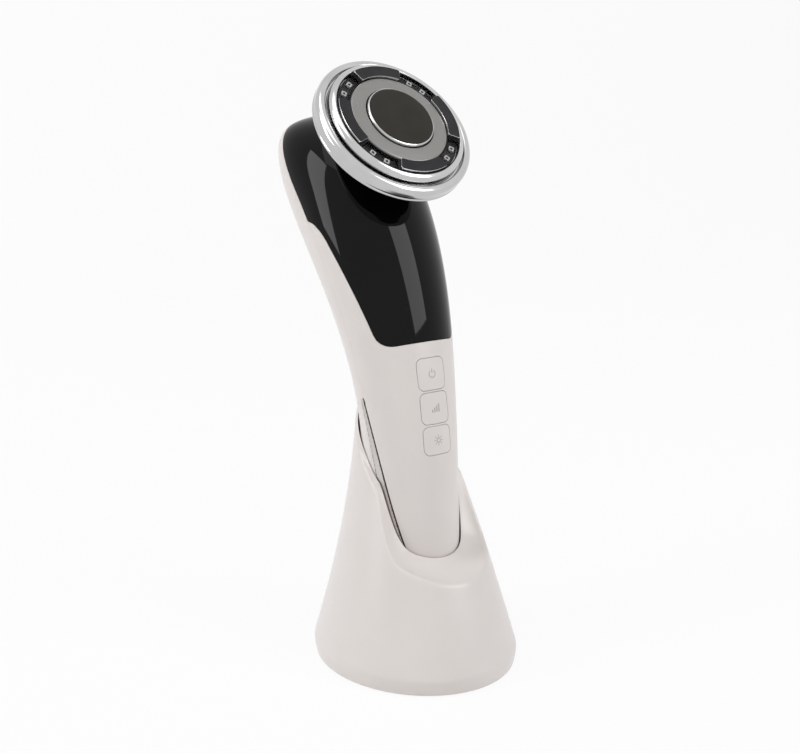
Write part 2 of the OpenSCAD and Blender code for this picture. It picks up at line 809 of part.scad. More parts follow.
module rear_shell() {
    color(white) difference() {
        union() {
            difference() {
                handset_wall();
                front_zone(-seam_gap / 2);
            }
            intersection() {
                at_frame_screws() translate([0, 0, frame_back_y - frame_front_y + seat])
                    cylinder(r = boss_r, h = 20);
                handset_form(shell_t / 2);
            }
        }
        cap_zone(seat);
        strip_cutters();
        at_frame_screws() cylinder(r = screw_r + run_clear, h = screw_len + 0.3);
    }
}

module head_panel() {
    color(black) difference() {
        intersection() {
            handset_wall();
            panel_zone(0);
            front_zone(seam_gap / 2);
        }
        on_face() translate([0, 0, -40]) cylinder(r = neck_r + 0.15, h = 60);
    }
}

contact_r = 2.2;
contact_recess = 0.3;

module at_contacts() {
    for (x = [-pin_pitch / 2, pin_pitch / 2]) translate([x, handset_y, tail_z]) children();
}

module tail_cap() {
    color(white) difference() {
        intersection() {
            handset_form();
            cap_zone(0);
        }
        at_contacts() translate([0, 0, -over]) cylinder(r = contact_r + run_clear, h = cap_t + 2 * over);
    }
}

module tail_contacts() {
    color(brass) at_contacts() translate([0, 0, contact_recess]) {
        cylinder(r = contact_r, h = cap_t - contact_recess + 1);
    }
}

module side_strip(side) {
    color(chrome) intersection() {
        difference() {
            handset_form(-strip_proud);
            handset_form(strip_t);
        }
        strip_zone(0);
        translate([side < 0 ? -reach_out : 0, -reach_out, 0])
            cube([reach_out, 2 * reach_out, tail_z + tip_s]);
    }
}

module side_strip_left() { side_strip(-1); }
module side_strip_right() { side_strip(1); }

// ---------------------------------------------------------------- stand

stand_cols = 96;
foot_y = -0.6;          // centre of the foot's sections
lean_power = 1.9;
scoop_angle = 80;       // the scoop's side ends here, seen from above
rim_climb = [43.5, 72]; // angles between which the outer rim climbs
lip_climb = [27, 78.4]; // angles between which the well's edge climbs
climb_power = 2;        // the climb starts gently
thin_wall = 0.9;        // least wall beside the well
well_w = grip_w / 2 + well_gap;
well_d = tail_d / 2 + well_gap;
floor_z = tail_z - seat_gap;
leg_z = floor_z + seat;

function up(z) = max(0, (z - foot_z) / (stand_h - foot_z));
function stand_half_w(z) = mix(foot_w, stand_top_w, 1 - pow(max(0, 1 - up(z)), flare)) / 2
    - foot_edge * pow(max(0, 1 - z / foot_z), 2);
function stand_y(z) = foot_y + stand_lean * pow(up(z), lean_power);
function well_half_w(z) = half_w(max(0, z - tail_z)) + well_gap;
function well_point(a, z, grow = 0) =
    [(well_half_w(z) + grow) * sin(a), handset_y - (well_d + grow) * cos(a), z];

// Point of the stand's outer form, kept a thin wall outside the well
function stand_point(a, z, inset = 0) =
    let (w = stand_half_w(z), x = (w - inset) * sin(a))
    let (y = stand_y(z) - (w * stand_depth_ratio - inset) * cos(a) - handset_y)
    let (room = norm([x / (well_half_w(z) + thin_wall), y / (well_d + thin_wall)]))
    let (push = 1 / min(1, room)) [x * push, handset_y + y * push, z];

// Height of an edge that dips at the front, climbs the scoop's side and rises to the back
function edge_height(a, front, dip, step, climb) =
    let (turn = min(scoop_angle, a), high = front + dip + step)
    let (climbed = max(0, min(1, (turn - climb[0]) / (climb[1] - climb[0]))))
    front + dip * pow(turn / scoop_angle, 2) + step * smooth(pow(climbed, climb_power))
    + (stand_h - high) * sin(90 * max(0, a - scoop_angle) / (180 - scoop_angle));
function rim_z(a) = edge_height(a, rim_front_z, rim_dip_h, rim_step_h, rim_climb);
function lip_z(a) = edge_height(a, lip_front_z, lip_dip_h, lip_step_h, lip_climb);

plate_cols = 72;
wall_rows = 9;
band_rows = 3;
dish = 0.12;            // depth of the lip's hollow, as a share of its width

// Closed outline of the moulding at one angle: up the outside, over the lip, down the well,
// up behind the well's wall and down inside the outer wall
function stand_outline(angle) =
    let (a = abs(angle), rim = rim_z(a), lip = lip_z(a), fork = min(rim, merge_z) - 1.3 * stand_t)
    let (outer_edge = stand_point(angle, rim), inner_edge = well_point(angle, lip))
    let (sag = dish * norm([outer_edge[0] - inner_edge[0], outer_edge[1] - inner_edge[1]]))
    concat(
        [for (k = [0 : wall_rows]) stand_point(angle, mix(shell_lift, rim, pow(k / wall_rows, 1.4)))],
        [for (k = [1 : band_rows - 1])
            let (t = k / band_rows) mix(outer_edge, inner_edge, t) - [0, 0, 4 * sag * t * (1 - t)]],
        [for (k = [0 : 3]) well_point(angle, mix(lip, leg_z, k / 3))],
        [for (k = [0 : 2]) well_point(angle, mix(leg_z, fork, k / 2), stand_t)],
        [for (k = [0 : 5]) stand_point(angle, mix(fork, shell_lift, pow(k / 5, 0.8)), stand_t)]
    );

// Closed ring of outlines
module wrap(outlines) {
    rows = len(outlines[0]);
    count = len(outlines);
    faces = [
        for (j = [0 : count - 1], i = [0 : rows - 1])
            let (a = j * rows, b = ((j + 1) % count) * rows, n = (i + 1) % rows)
            each [[a + i, a + n, b + n], [a + i, b + n, b + i]]
    ];
    polyhedron([for (outline = outlines) each outline], faces, convexity = 8);
}

// Oval plate, with straight facets round its edge
module oval_plate(w, d, t) {
    linear_extrude(t) polygon([
        for (k = [0 : plate_cols - 1]) let (a = 360 * k / plate_cols) [w * sin(a), -d * cos(a)]
    ]);
}

base_top = shell_lift + base_t;
base_w = stand_half_w(shell_lift) - stand_t - 0.3;
base_d = stand_half_w(shell_lift) * stand_depth_ratio - stand_t - 0.3;
screw_inset = 4.35;     // from the base plate's edge to a screw's axis
screw_angle = 46;
stand_screw_x = (base_w - screw_inset) * sin(screw_angle);
stand_screw_y = (base_d - screw_inset) * cos(screw_angle);
stand_boss_r = 3;
boss_web = 2.4;         // thickness of the web that joins a boss to the wall
boss_h = 9;
boss_clear = 1;         // from a boss to the ballast
stand_screw_r = 1.3;
stand_screw_len = 9;
stand_head_r = 2.4;
stand_head_h = 0.9;
stand_head_sink = 0.3;  // from the plate's underside to the screw's head
charge_board_w = 20;

board_post_r = 2;
board_post_x = charge_board_w / 2 - board_post_r;
board_post_inset = [3, 8];  // from the charging board's front and back edge to a post's axis
charge_front_y = -13;
charge_z = base_top + 2.4;
charge_back_y = stand_half_w(foot_z) * stand_depth_ratio + foot_y - 5;
inlet_z = charge_z + board_t + seat;
inlet_back_y = stand_half_w(foot_z) * stand_depth_ratio + foot_y - 0.4;

module at_stand_screws(z) {
    for (x = [-stand_screw_x, stand_screw_x], y = [-stand_screw_y, stand_screw_y])
        translate([x, y + foot_y, z]) children();
}

// Screw bosses, each with a web that reaches out to the wall
module stand_bosses() {
    at_stand_screws(base_top + seat) cylinder(r = stand_boss_r, h = boss_h);
    for (y = [-stand_screw_y, stand_screw_y])
        translate([0, y + foot_y, base_top + seat + boss_h / 2]) difference() {
            cube([foot_w, boss_web, boss_h], center = true);
            cube([2 * stand_screw_x, boss_web + over, boss_h + over], center = true);
        }
}

module stand_shell() {
    inlet_gap = 0.3;
    color(white) difference() {
        union() {
            wrap([for (j = [0 : stand_cols - 1]) stand_outline(360 * j / stand_cols - 180)]);
            intersection() {
                stand_bosses();
                loft([for (k = [0 : 4]) [for (j = [0 : stand_cols - 1])
                        stand_point(360 * j / stand_cols, k * boss_h / 2, stand_t / 2)]],
                     [0, 0, 0], [0, 0, 2 * boss_h]);
            }
        }
        at_stand_screws(base_top)
            cylinder(r = stand_screw_r + run_clear, h = stand_screw_len - base_t + 0.5);
        translate([-inlet_w / 2 - inlet_gap, charge_back_y - 6, inlet_z - inlet_gap])
            cube([inlet_w + 2 * inlet_gap, 20, inlet_h + 2 * inlet_gap]);
    }
}

module socket_floor() {
    color("#2a2a2c") difference() {
        translate([0, handset_y, floor_z - floor_t])
            oval_plate(well_w + stand_t, well_d + stand_t, floor_t);
        at_pins(floor_z - floor_t - over) cylinder(r = pin_r + run_clear, h = floor_t + 2 * over);
    }
}

module at_pins(z) {
    for (x = [-pin_pitch / 2, pin_pitch / 2]) translate([x, handset_y, z]) children();
}

collar_r = 1.6;
collar_h = 1;
collar_z = floor_z - floor_t - seat - collar_h;
spring_room = 2.8;
block_low = charge_z + board_t + seat;
block_h = floor_z - floor_t - seat - block_low;
block_w = 7;

// Guide block: each pin's hole leaves room for its travel and its spring
module pin_block() {
    color("#1f1f21") difference() {
        translate([-(pin_pitch + block_w) / 2, handset_y - block_w / 2, block_low])
            cube([pin_pitch + block_w, block_w, block_h]);
        at_pins(collar_z - pin_travel - spring_room) cylinder(r = collar_r + run_clear, h = block_h);
    }
}

// Sprung pin: it rests with its collar under the floor plate
module charge_pin(side) {
    top = tail_z + contact_recess - 0.15;
    color(brass) translate([side * pin_pitch / 2, handset_y, collar_z]) {
        cylinder(r = pin_r, h = top - collar_z);
        cylinder(r = collar_r, h = collar_h);
    }
}

module charge_pin_left() { charge_pin(-1); }
module charge_pin_right() { charge_pin(1); }

module base_plate() {
    color("#d2ccc9") difference() {
        union() {
            translate([0, foot_y, shell_lift]) oval_plate(base_w, base_d, base_t);
            for (x = [-board_post_x, board_post_x],
                 y = [charge_front_y + board_post_inset[0], charge_back_y - board_post_inset[1]])
                translate([x, y, base_top - 0.5])
                    cylinder(r = board_post_r, h = charge_z - base_top - seat + 0.5);
        }
        translate([0, 0, -over])
            oval_plate(pad_w / 2 + 0.1, pad_w / 2 * stand_depth_ratio + 0.1, shell_lift + pad_seat + over);
        at_stand_screws(-over) cylinder(r = stand_screw_r + run_clear, h = base_top + 2 * over);
        at_stand_screws(-over)
            cylinder(r = stand_head_r + 0.2, h = shell_lift + over + stand_head_sink + stand_head_h);
    }
}

module base_pad() {
    color("#3b3b3d") oval_plate(pad_w / 2, pad_w / 2 * stand_depth_ratio, shell_lift + pad_seat - seat);
}

module stand_ballast() {
    color("#7b7d80") translate([0, foot_y, base_top + seat]) difference() {
        oval_plate(ballast_w / 2, ballast_w / 2 * stand_depth_ratio, ballast_t);
        translate([-charge_board_w / 2 - 2.5, charge_front_y - 2, -over])
            cube([charge_board_w + 5, foot_w, ballast_t + 2 * over]);
        translate([0, -foot_y, 0]) at_stand_screws(-over)
            cylinder(r = stand_boss_r + boss_clear, h = ballast_t + 2 * over);
    }
}

module charge_board() {
    color(board_green) union() {
        translate([-charge_board_w / 2, charge_front_y, charge_z])
            cube([charge_board_w, charge_back_y - charge_front_y, board_t]);
        translate([-0.45 * charge_board_w, charge_back_y - 21, charge_z + board_t - 0.2]) cube([6, 6, 1.4]);
        translate([0.2 * charge_board_w, charge_back_y - 19, charge_z + board_t - 0.2]) cube([5, 4, 2.2]);
    }
}

// Metal socket at the back of the stand
module power_inlet() {
    wall = 0.5;
    color(chrome) translate([-inlet_w / 2, inlet_back_y - inlet_len, inlet_z]) difference() {
        cube([inlet_w, inlet_len, inlet_h]);
        translate([wall, 1.5, wall]) cube([inlet_w - 2 * wall, inlet_len, inlet_h - 2 * wall]);
    }
}

module stand_screws() {
    color(chrome) at_stand_screws(shell_lift + stand_head_sink) {
        cylinder(r = stand_head_r, h = stand_head_h - seat);
        cylinder(r = stand_screw_r, h = stand_screw_len);
    }
}

stand_shell();
socket_floor();
base_plate();
base_pad();
stand_ballast();
charge_board();
pin_block();
power_inlet();
stand_screws();
charge_pin_left();
charge_pin_right();
front_shell();
rear_shell();
head_panel();
tail_cap();
tail_contacts();
side_strip_left();
side_strip_right();
key_power();
key_level();
key_light();
key_carrier();
key_board();
tact_switches();
main_board();
battery_cell();
inner_frame();
frame_screws();
head_bracket();
motor_can();
motor_rotor();
head_cable();
head_neck();
head_gasket();
head_bezel();
face_carrier();
face_ring();
led_windows();
led_board();
led_chips();
electrode_arcs();
contact_ring();
contact_plate();
peltier_module();
heat_sink();
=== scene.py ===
# Facial toning device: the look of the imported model.
# Shapes are worked out in millimetres in the CAD frame and scaled to metres when a mesh is made.
import json
import math

import bmesh
import bpy
import numpy as np
from mathutils import Matrix, Vector


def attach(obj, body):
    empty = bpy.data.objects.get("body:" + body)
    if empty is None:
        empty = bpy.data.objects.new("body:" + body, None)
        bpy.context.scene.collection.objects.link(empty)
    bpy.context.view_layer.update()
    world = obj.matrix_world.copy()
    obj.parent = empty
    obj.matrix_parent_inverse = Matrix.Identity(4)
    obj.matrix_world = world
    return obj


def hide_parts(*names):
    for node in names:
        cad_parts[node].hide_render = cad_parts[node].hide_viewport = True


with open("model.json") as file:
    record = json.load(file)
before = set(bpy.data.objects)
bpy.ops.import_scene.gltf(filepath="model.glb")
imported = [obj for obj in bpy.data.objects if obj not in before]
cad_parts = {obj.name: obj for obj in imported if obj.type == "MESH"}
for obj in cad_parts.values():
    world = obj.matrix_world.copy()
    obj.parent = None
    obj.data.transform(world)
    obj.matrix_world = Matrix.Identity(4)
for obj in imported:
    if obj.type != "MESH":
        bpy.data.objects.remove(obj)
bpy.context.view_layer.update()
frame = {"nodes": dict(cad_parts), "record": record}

MM = 0.001

# ---------------------------------------------------------------- handset outline
# s runs along the centre line from the tail end, f is the distance in front of it.

TAIL_Z = 15
HANDSET_Y = 2.4
STRAIGHT = 53
BEND = 118
BEND_ANGLE = math.radians(46)
BEND_R = BEND / BEND_ANGLE
GRIP_W, HEAD_W = 32.2, 47.2
TAIL_D, WAIST_D, HEAD_D = 39.2, 32.8, 42.8
TAIL_S, GRIP_S, WAIST_S, HEAD_S, TIP_S = 25, 50, 80, 150, 186
TAIL_ROUND, TAIL_EDGE = 8, 3.5
CROWN_W_POWER, CROWN_D_POWER = 3.4, 1.8
SHELL_T = 1.8
CAP_T = 3
SEAM_GAP, FINE_SEAM, CAP_SEAM = 0.1, 0.02, 0.05
SHELL_EDGE, PANEL_EDGE, KEY_EDGE, STRIP_EDGE = 0.06, 0.15, 0.14, 0.3


def smooth(t):
    u = np.clip(t, 0, 1)
    return u * u * (3 - 2 * u)


def mix(a, b, t):
    return a + (b - a) * t


def lean(s):
    return BEND_ANGLE * np.maximum(0, s - STRAIGHT) / BEND


def ahead(s, f):
    """Side-view point (y, z) at distance f in front of the centre line."""
    turn = lean(s)
    y = HANDSET_Y + BEND_R * (1 - np.cos(turn)) - f * np.cos(turn)
    z = TAIL_Z + np.minimum(s, STRAIGHT) + BEND_R * np.sin(turn) + f * np.sin(turn)
    return y, z


def half_sizes(s):
    """Half width and half depth of the section at s, with the rounded tail and crown."""
    s = np.clip(s, 0, TIP_S - 1e-4)
    w = mix(GRIP_W, HEAD_W, smooth((s - GRIP_S) / (HEAD_S - GRIP_S))) / 2
    low = mix(TAIL_D, WAIST_D, smooth((s - TAIL_S) / (WAIST_S - TAIL_S))) / 2
    high = mix(WAIST_D, HEAD_D, smooth((s - WAIST_S) / (HEAD_S - WAIST_S))) / 2
    d = np.where(s < WAIST_S, low, high)
    inset = TAIL_EDGE * (1 - np.sqrt(1 - (1 - np.minimum(s, TAIL_ROUND) / TAIL_ROUND) ** 2))
    k = np.clip((s - HEAD_S) / (TIP_S - HEAD_S), 0, 1)
    w = (w - inset) * (1 - k ** CROWN_W_POWER) ** (1 / CROWN_W_POWER)
    d = (d - inset) * (1 - k ** CROWN_D_POWER) ** (1 / CROWN_D_POWER)
    return w, d


def body_point(s, angle):
    """Point of the outer surface; the angle runs from the -X side over the front."""
    w, d = half_sizes(s)
    y, z = ahead(s, d * np.sin(angle))
    return np.stack([-w * np.cos(angle), y, z], axis=-1)


def place(points):
    """Along and forward coordinates (s, f) of points."""
    dy = points[..., 1] - HANDSET_Y - BEND_R
    dz = points[..., 2] - TAIL_Z - STRAIGHT
    turn = np.arctan2(dz, -dy)
    s = np.where(turn <= 0, points[..., 2] - TAIL_Z, STRAIGHT + turn / BEND_ANGLE * BEND)
    f = np.where(turn <= 0, HANDSET_Y - points[..., 1], np.hypot(dy, dz) - BEND_R)
    return s, f


def level(points):
    """1 on the outer surface, less inside it."""
    s, f = place(points)
    w, d = half_sizes(s)
    return np.hypot(points[..., 0] / w, f / d)


def body_normal(points):
    """Unit normals of the outer surface, from its level's slope."""
    slope = []
    for axis in range(3):
        step = np.zeros(3)
        step[axis] = 0.02
        slope.append(level(points + step) - level(points - step))
    normal = np.stack(slope, axis=-1)
    return normal / np.linalg.norm(normal, axis=-1, keepdims=True)


def settle(points):
    """Moves points onto the outer surface, within their sections."""
    s, f = place(points)
    share = level(points)
    y, z = ahead(s, f / share)
    return np.stack([points[:, 0] / share, y, z], axis=-1)


# ---------------------------------------------------------------- outlines as signed fields

def polygon_field(u, v, polygon):
    """Signed distance to a polygon in a plane, positive inside."""
    polygon = np.asarray(polygon, float)
    inside = np.zeros(len(u), bool)
    best = np.full(len(u), 1e9)
    for a, b in zip(polygon, np.roll(polygon, -1, axis=0)):
        run = b - a
        t = np.clip(((u - a[0]) * run[0] + (v - a[1]) * run[1]) / max(run @ run, 1e-12), 0, 1)
        best = np.minimum(best, np.hypot(u - a[0] - t * run[0], v - a[1] - t * run[1]))
        if a[1] != b[1]:
            over = (a[1] > v) != (b[1] > v)
            inside ^= over & (u < a[0] + (v - a[1]) / (b[1] - a[1]) * run[0])
    return np.where(inside, best, -best)


def box_field(u, v, w, h, r):
    """Signed distance to a rounded rectangle about 0, positive inside."""
    qu, qv = np.abs(u) - w / 2 + r, np.abs(v) - h / 2 + r
    return r - np.hypot(np.maximum(qu, 0), np.maximum(qv, 0)) - np.minimum(np.maximum(qu, qv), 0)


PART_START, PART_RISE = 155, 5
PANEL_S, PANEL_STEP_S = 95.5, 143


def part_rise(s):
    return PART_RISE * (np.maximum(0, s - PART_START) / (TIP_S - PART_START)) ** 2


def front_field(points):
    s, f = place(points)
    return f - part_rise(s)


def panel_outline():
    """The black panel's outline over (s, f)."""
    s = PANEL_S + (PANEL_STEP_S - PANEL_S) * np.concatenate([
        np.linspace(0, 1, 25) ** 2 * 0.1, np.linspace(0.12, 0.8, 30), 1 - 0.2 * np.linspace(1, 0, 25)[1:] ** 2])
    t = (PANEL_STEP_S - s) / (PANEL_STEP_S - PANEL_S)
    corner = np.clip((PANEL_S + 4 - s) / 4, 0, 1)
    angle = mix(10, 37, t ** 1.2) * np.sqrt(1 - (1 - np.minimum(1, t / 0.2)) ** 2) \
        + 17 * (1 - np.sqrt(1 - corner ** 2))
    flank = np.stack([s, half_sizes(s)[1] * np.sin(np.radians(angle))], axis=-1)
    seam_s = np.linspace(PANEL_STEP_S + 0.5, TIP_S, 24)
    seam = np.stack([seam_s, part_rise(seam_s)], axis=-1)
    return [[PANEL_S, 60], *flank, *seam, [TIP_S + 30, 6], [TIP_S + 30, 60]]


PANEL = panel_outline()


def panel_field(points):
    s, f = place(points)
    return polygon_field(s, f, PANEL)


STRIP_TOP_Z, STRIP_TOP_Y, STRIP_LOW_Z = 95, 5.2, 34
STRIP_TOP_W, STRIP_LOW_W, STRIP_LEAN = 2.2, 5.4, math.radians(15.6)
STRIP_T, STRIP_PROUD, STRIP_SEAL = 1, 0.1, 0.25


def strip_outline():
    low_y = STRIP_TOP_Y - (STRIP_TOP_Z - STRIP_LOW_Z) * math.tan(STRIP_LEAN)
    rounding = np.radians(np.linspace(0, 180, 13))
    top = [(STRIP_TOP_Y + STRIP_TOP_W / 2 * math.cos(a), STRIP_TOP_Z - STRIP_TOP_W + STRIP_TOP_W * math.sin(a))
           for a in rounding]
    return top + [(low_y - STRIP_LOW_W / 2, STRIP_LOW_Z), (low_y + STRIP_LOW_W / 2, STRIP_LOW_Z)]


STRIP = strip_outline()


def strip_field(points):
    return polygon_field(points[:, 1], points[:, 2], STRIP)


KEY_S = 75.2
KEY_W, KEY_R, KEY_T, KEY_CLEAR, KEY_GROW, KEY_WALLS = 10.9, 2, 2.3, 0.25, 0.12, 2
KEYS = {"key_power": (11.6, 10.6), "key_level": (0, 10.4), "key_light": (-11, 9.4)}
KEY_LEAN = float(lean(KEY_S))
KEY_ORIGIN = np.array([0, *ahead(KEY_S, 0)], float)
KEY_UP = np.array([0, math.sin(KEY_LEAN), math.cos(KEY_LEAN)])
KEY_OUT = np.array([0, -math.cos(KEY_LEAN), math.sin(KEY_LEAN)])


def key_field(points, key, grow=0):
    """Signed distance to a key's outline, positive on the key."""
    at, height = KEYS[key]
    rel = points - KEY_ORIGIN
    field = box_field(rel[:, 0], rel @ KEY_UP - at, KEY_W + 2 * grow, height + 2 * grow, KEY_R + grow)
    return np.where(rel @ KEY_OUT > 0, field, -50)


FACE = np.array([0, 8.676, 186.97])
FACE_LEAN = math.radians(42)
FACE_UP = np.array([0, math.sin(FACE_LEAN), math.cos(FACE_LEAN)])
FACE_OUT = np.array([0, -math.cos(FACE_LEAN), math.sin(FACE_LEAN)])
FACE_TILT = math.pi / 2 - FACE_LEAN
NECK_R = 13


def neck_field(points):
    """Distance outside the neck's hole."""
    rel = points - FACE
    away = np.hypot(rel[:, 0], rel @ FACE_UP) - NECK_R - 0.15
    return np.where(rel @ FACE_OUT > -45, away, 50)


def tail_contact_field(points):
    away = np.hypot(np.abs(points[:, 0]) - 5, points[:, 1] - HANDSET_Y) - 2.25
    return np.where(points[:, 2] < TAIL_Z + 0.5, away, 50)


# ---------------------------------------------------------------- meshes

def grid_faces(rows, cols, closed):
    """Quads of a grid of rows x cols points, whose columns may close."""
    across = cols if closed else cols - 1
    return [(i * cols + k, i * cols + (k + 1) % cols, (i + 1) * cols + (k + 1) % cols, (i + 1) * cols + k)
            for i in range(rows - 1) for k in range(across)]


SNAP = 0.22


def carve(skin, field):
    """Keeps the part of a skin where the field is above 0, cut along the line where it is 0."""
    points, faces = skin
    value = np.where(np.abs(field(points)) < 1e-9, 0, field(points))
    sides = value.tolist()
    moves = {}
    for face in faces:
        for a, b in zip(face, face[1:] + face[:1]):
            if sides[a] * sides[b] < 0:
                t = sides[a] / (sides[a] - sides[b])
                near, other, share = (a, b, t) if t < 0.5 else (b, a, 1 - t)
                if share < SNAP and share < moves.get(near, (1,))[0]:
                    moves[near] = (share, other)
    snapped = points.copy()
    for near, (share, other) in moves.items():
        snapped[near] = mix(points[near], points[other], share)
        sides[near] = 0.0
    extra, cuts, kept = [], {}, []

    def cut(a, b):
        key = (min(a, b), max(a, b))
        if key not in cuts:
            t = sides[key[0]] / (sides[key[0]] - sides[key[1]])
            cuts[key] = len(points) + len(extra)
            extra.append(mix(snapped[key[0]], snapped[key[1]], t))
        return cuts[key]

    for face in faces:
        values = [sides[i] for i in face]
        if max(values) <= 0:
            continue
        if min(values) >= 0:
            kept.append(face)
            continue
        ring = []
        for a, b in zip(face, face[1:] + face[:1]):
            if sides[a] >= 0:
                ring.append(a)
            if sides[a] * sides[b] < 0:
                ring.append(cut(a, b))
        if len(ring) > 2:
            kept.append(tuple(ring))
    every = np.concatenate([snapped, np.array(extra).reshape(-1, 3)])
    used = sorted({i for face in kept for i in face})
    index = {old: new for new, old in enumerate(used)}
    return every[used], [tuple(index[i] for i in face) for face in kept]


def shell(skin, normals, thick, edge, steps=3, depth=None):
    """Closed solid below a skin, whose edges are rounded; also gives each face corner's normal. It goes in against
    the normals, or against the depth directions where these are given."""
    points, faces = skin
    sides = {(a, b) for face in faces for a, b in zip(face, face[1:] + face[:1])}
    rim = [(a, b) for a, b in sides if (b, a) not in sides]
    after, before = dict(rim), {b: a for a, b in rim}
    border = sorted(after)
    at = {v: i for i, v in enumerate(border)}
    along = np.array([points[after[v]] - points[before[v]] for v in border])
    normal = normals[border]
    out = np.cross(along, normal)
    out /= np.maximum(np.linalg.norm(out, axis=1, keepdims=True), 1e-9)
    base = points[border]
    count, total = len(border), len(points)
    verts = points.copy()
    verts[border] = base - out * edge
    rings, turned = [verts], [normals]
    for k in range(1, steps + 1):
        turn = math.pi / 2 * k / steps
        rings.append(base - out * edge * (1 - math.sin(turn)) - normal * edge * (1 - math.cos(turn)))
        turned.append(normal * math.cos(turn) + out * math.sin(turn))
    rings.append(points - (normals if depth is None else depth) * thick)

    def vertex(ring, v):
        if ring == 0:
            return v
        if ring <= steps:
            return total + (ring - 1) * count + at[v]
        return total + steps * count + v

    solid = list(faces)
    corner = [normals[i] for face in faces for i in face]
    for k in range(steps + 1):
        for a, b in rim:
            solid.append((vertex(k, b), vertex(k, a), vertex(k + 1, a), vertex(k + 1, b)))
            upper = [normals[b], normals[a]] if k == 0 else [turned[k][at[b]], turned[k][at[a]]]
            lower = turned[min(k + 1, steps)]
            corner += upper + [lower[at[a]], lower[at[b]]]
    inner = total + steps * count
    for face in faces:
        solid.append(tuple(inner + i for i in reversed(face)))
        corner += [-normals[i] for i in reversed(face)]
    return np.concatenate(rings), solid, corner


def make(name, points, faces, corner=None, sharp=40, outward=False):
    """Blender object from points in millimetres."""
    mesh = bpy.data.meshes.new(name)
    mesh.from_pydata((np.asarray(points) * MM).tolist(), [], faces)
    if outward:
        work = bmesh.new()
        work.from_mesh(mesh)
        bmesh.ops.remove_doubles(work, verts=work.verts, dist=1e-7)
        bmesh.ops.recalc_face_normals(work, faces=work.faces)
        work.to_mesh(mesh)
        work.free()
    mesh.polygons.foreach_set("use_smooth", [True] * len(mesh.polygons))
    if corner is not None:
        mesh.normals_split_custom_set(np.asarray(corner).tolist())
    else:
        mesh.set_sharp_from_angle(angle=math.radians(sharp))
    obj = bpy.data.objects.new(name, mesh)
    bpy.context.scene.collection.objects.link(obj)
    return obj


# ---------------------------------------------------------------- materials


def finish(name, dark, light, rough, grain=400.0, bump=0.0, bump_grain=None, metallic=0.0, turned=0, **sockets):
    """Finish whose colour and roughness vary softly, with a fine bump; rough is a pair. Turned metal varies in
    rings about the treatment face's axis instead, that many millimetres apart."""
    material = bpy.data.materials.new(name)
    material.use_nodes = True
    nodes, links = material.node_tree.nodes, material.node_tree.links
    shader = nodes["Principled BSDF"]
    shader.inputs["Metallic"].default_value = metallic
    for socket, value in sockets.items():
        shader.inputs[socket.replace("_", " ")].default_value = value
    coords = nodes.new("ShaderNodeTexCoord")
    if turned:
        about = nodes.new("ShaderNodeMapping")
        about.vector_type = "TEXTURE"
        about.inputs["Location"].default_value = FACE * MM
        about.inputs["Rotation"].default_value = (FACE_TILT, 0, 0)
        links.new(coords.outputs["Object"], about.inputs["Vector"])
        noise = nodes.new("ShaderNodeTexWave")
        noise.wave_type = "RINGS"
        noise.rings_direction = "Z"
        noise.inputs["Scale"].default_value = 2 * math.pi / (20 * turned * MM)
        noise.inputs["Distortion"].default_value = 0.4
        noise.inputs["Detail"].default_value = 3
        noise.inputs["Detail Scale"].default_value = 0.4
        links.new(about.outputs["Vector"], noise.inputs["Vector"])
    else:
        noise = nodes.new("ShaderNodeTexNoise")
        noise.inputs["Scale"].default_value = grain
        noise.inputs["Detail"].default_value = 4
        links.new(coords.outputs["Object"], noise.inputs["Vector"])
    ramp = nodes.new("ShaderNodeValToRGB")
    ramp.color_ramp.elements[0].position = 0.3
    ramp.color_ramp.elements[1].position = 0.7
    ramp.color_ramp.elements[0].color = (*dark, 1)
    ramp.color_ramp.elements[1].color = (*light, 1)
    links.new(noise.outputs["Fac"], ramp.inputs["Fac"])
    links.new(ramp.outputs["Color"], shader.inputs["Base Color"])
    spread = nodes.new("ShaderNodeMapRange")
    spread.inputs["From Min"].default_value = 0.3
    spread.inputs["From Max"].default_value = 0.7
    spread.inputs["To Min"].default_value = rough[0]
    spread.inputs["To Max"].default_value = rough[1]
    links.new(noise.outputs["Fac"], spread.inputs["Value"])
    links.new(spread.outputs["Result"], shader.inputs["Roughness"])
    if bump:
        fine = nodes.new("ShaderNodeTexNoise")
        fine.inputs["Scale"].default_value = bump_grain or 4 * grain
        fine.inputs["Detail"].default_value = 3
        links.new(coords.outputs["Object"], fine.inputs["Vector"])
        raised = nodes.new("ShaderNodeBump")
        raised.inputs["Strength"].default_value = 1
        raised.inputs["Distance"].default_value = bump * MM
        links.new(fine.outputs["Fac"], raised.inputs["Height"])
        links.new(raised.outputs["Normal"], shader.inputs["Normal"])
    return material


def grey(value, tint=(1, 1, 1)):
    return tuple(value * t for t in tint)


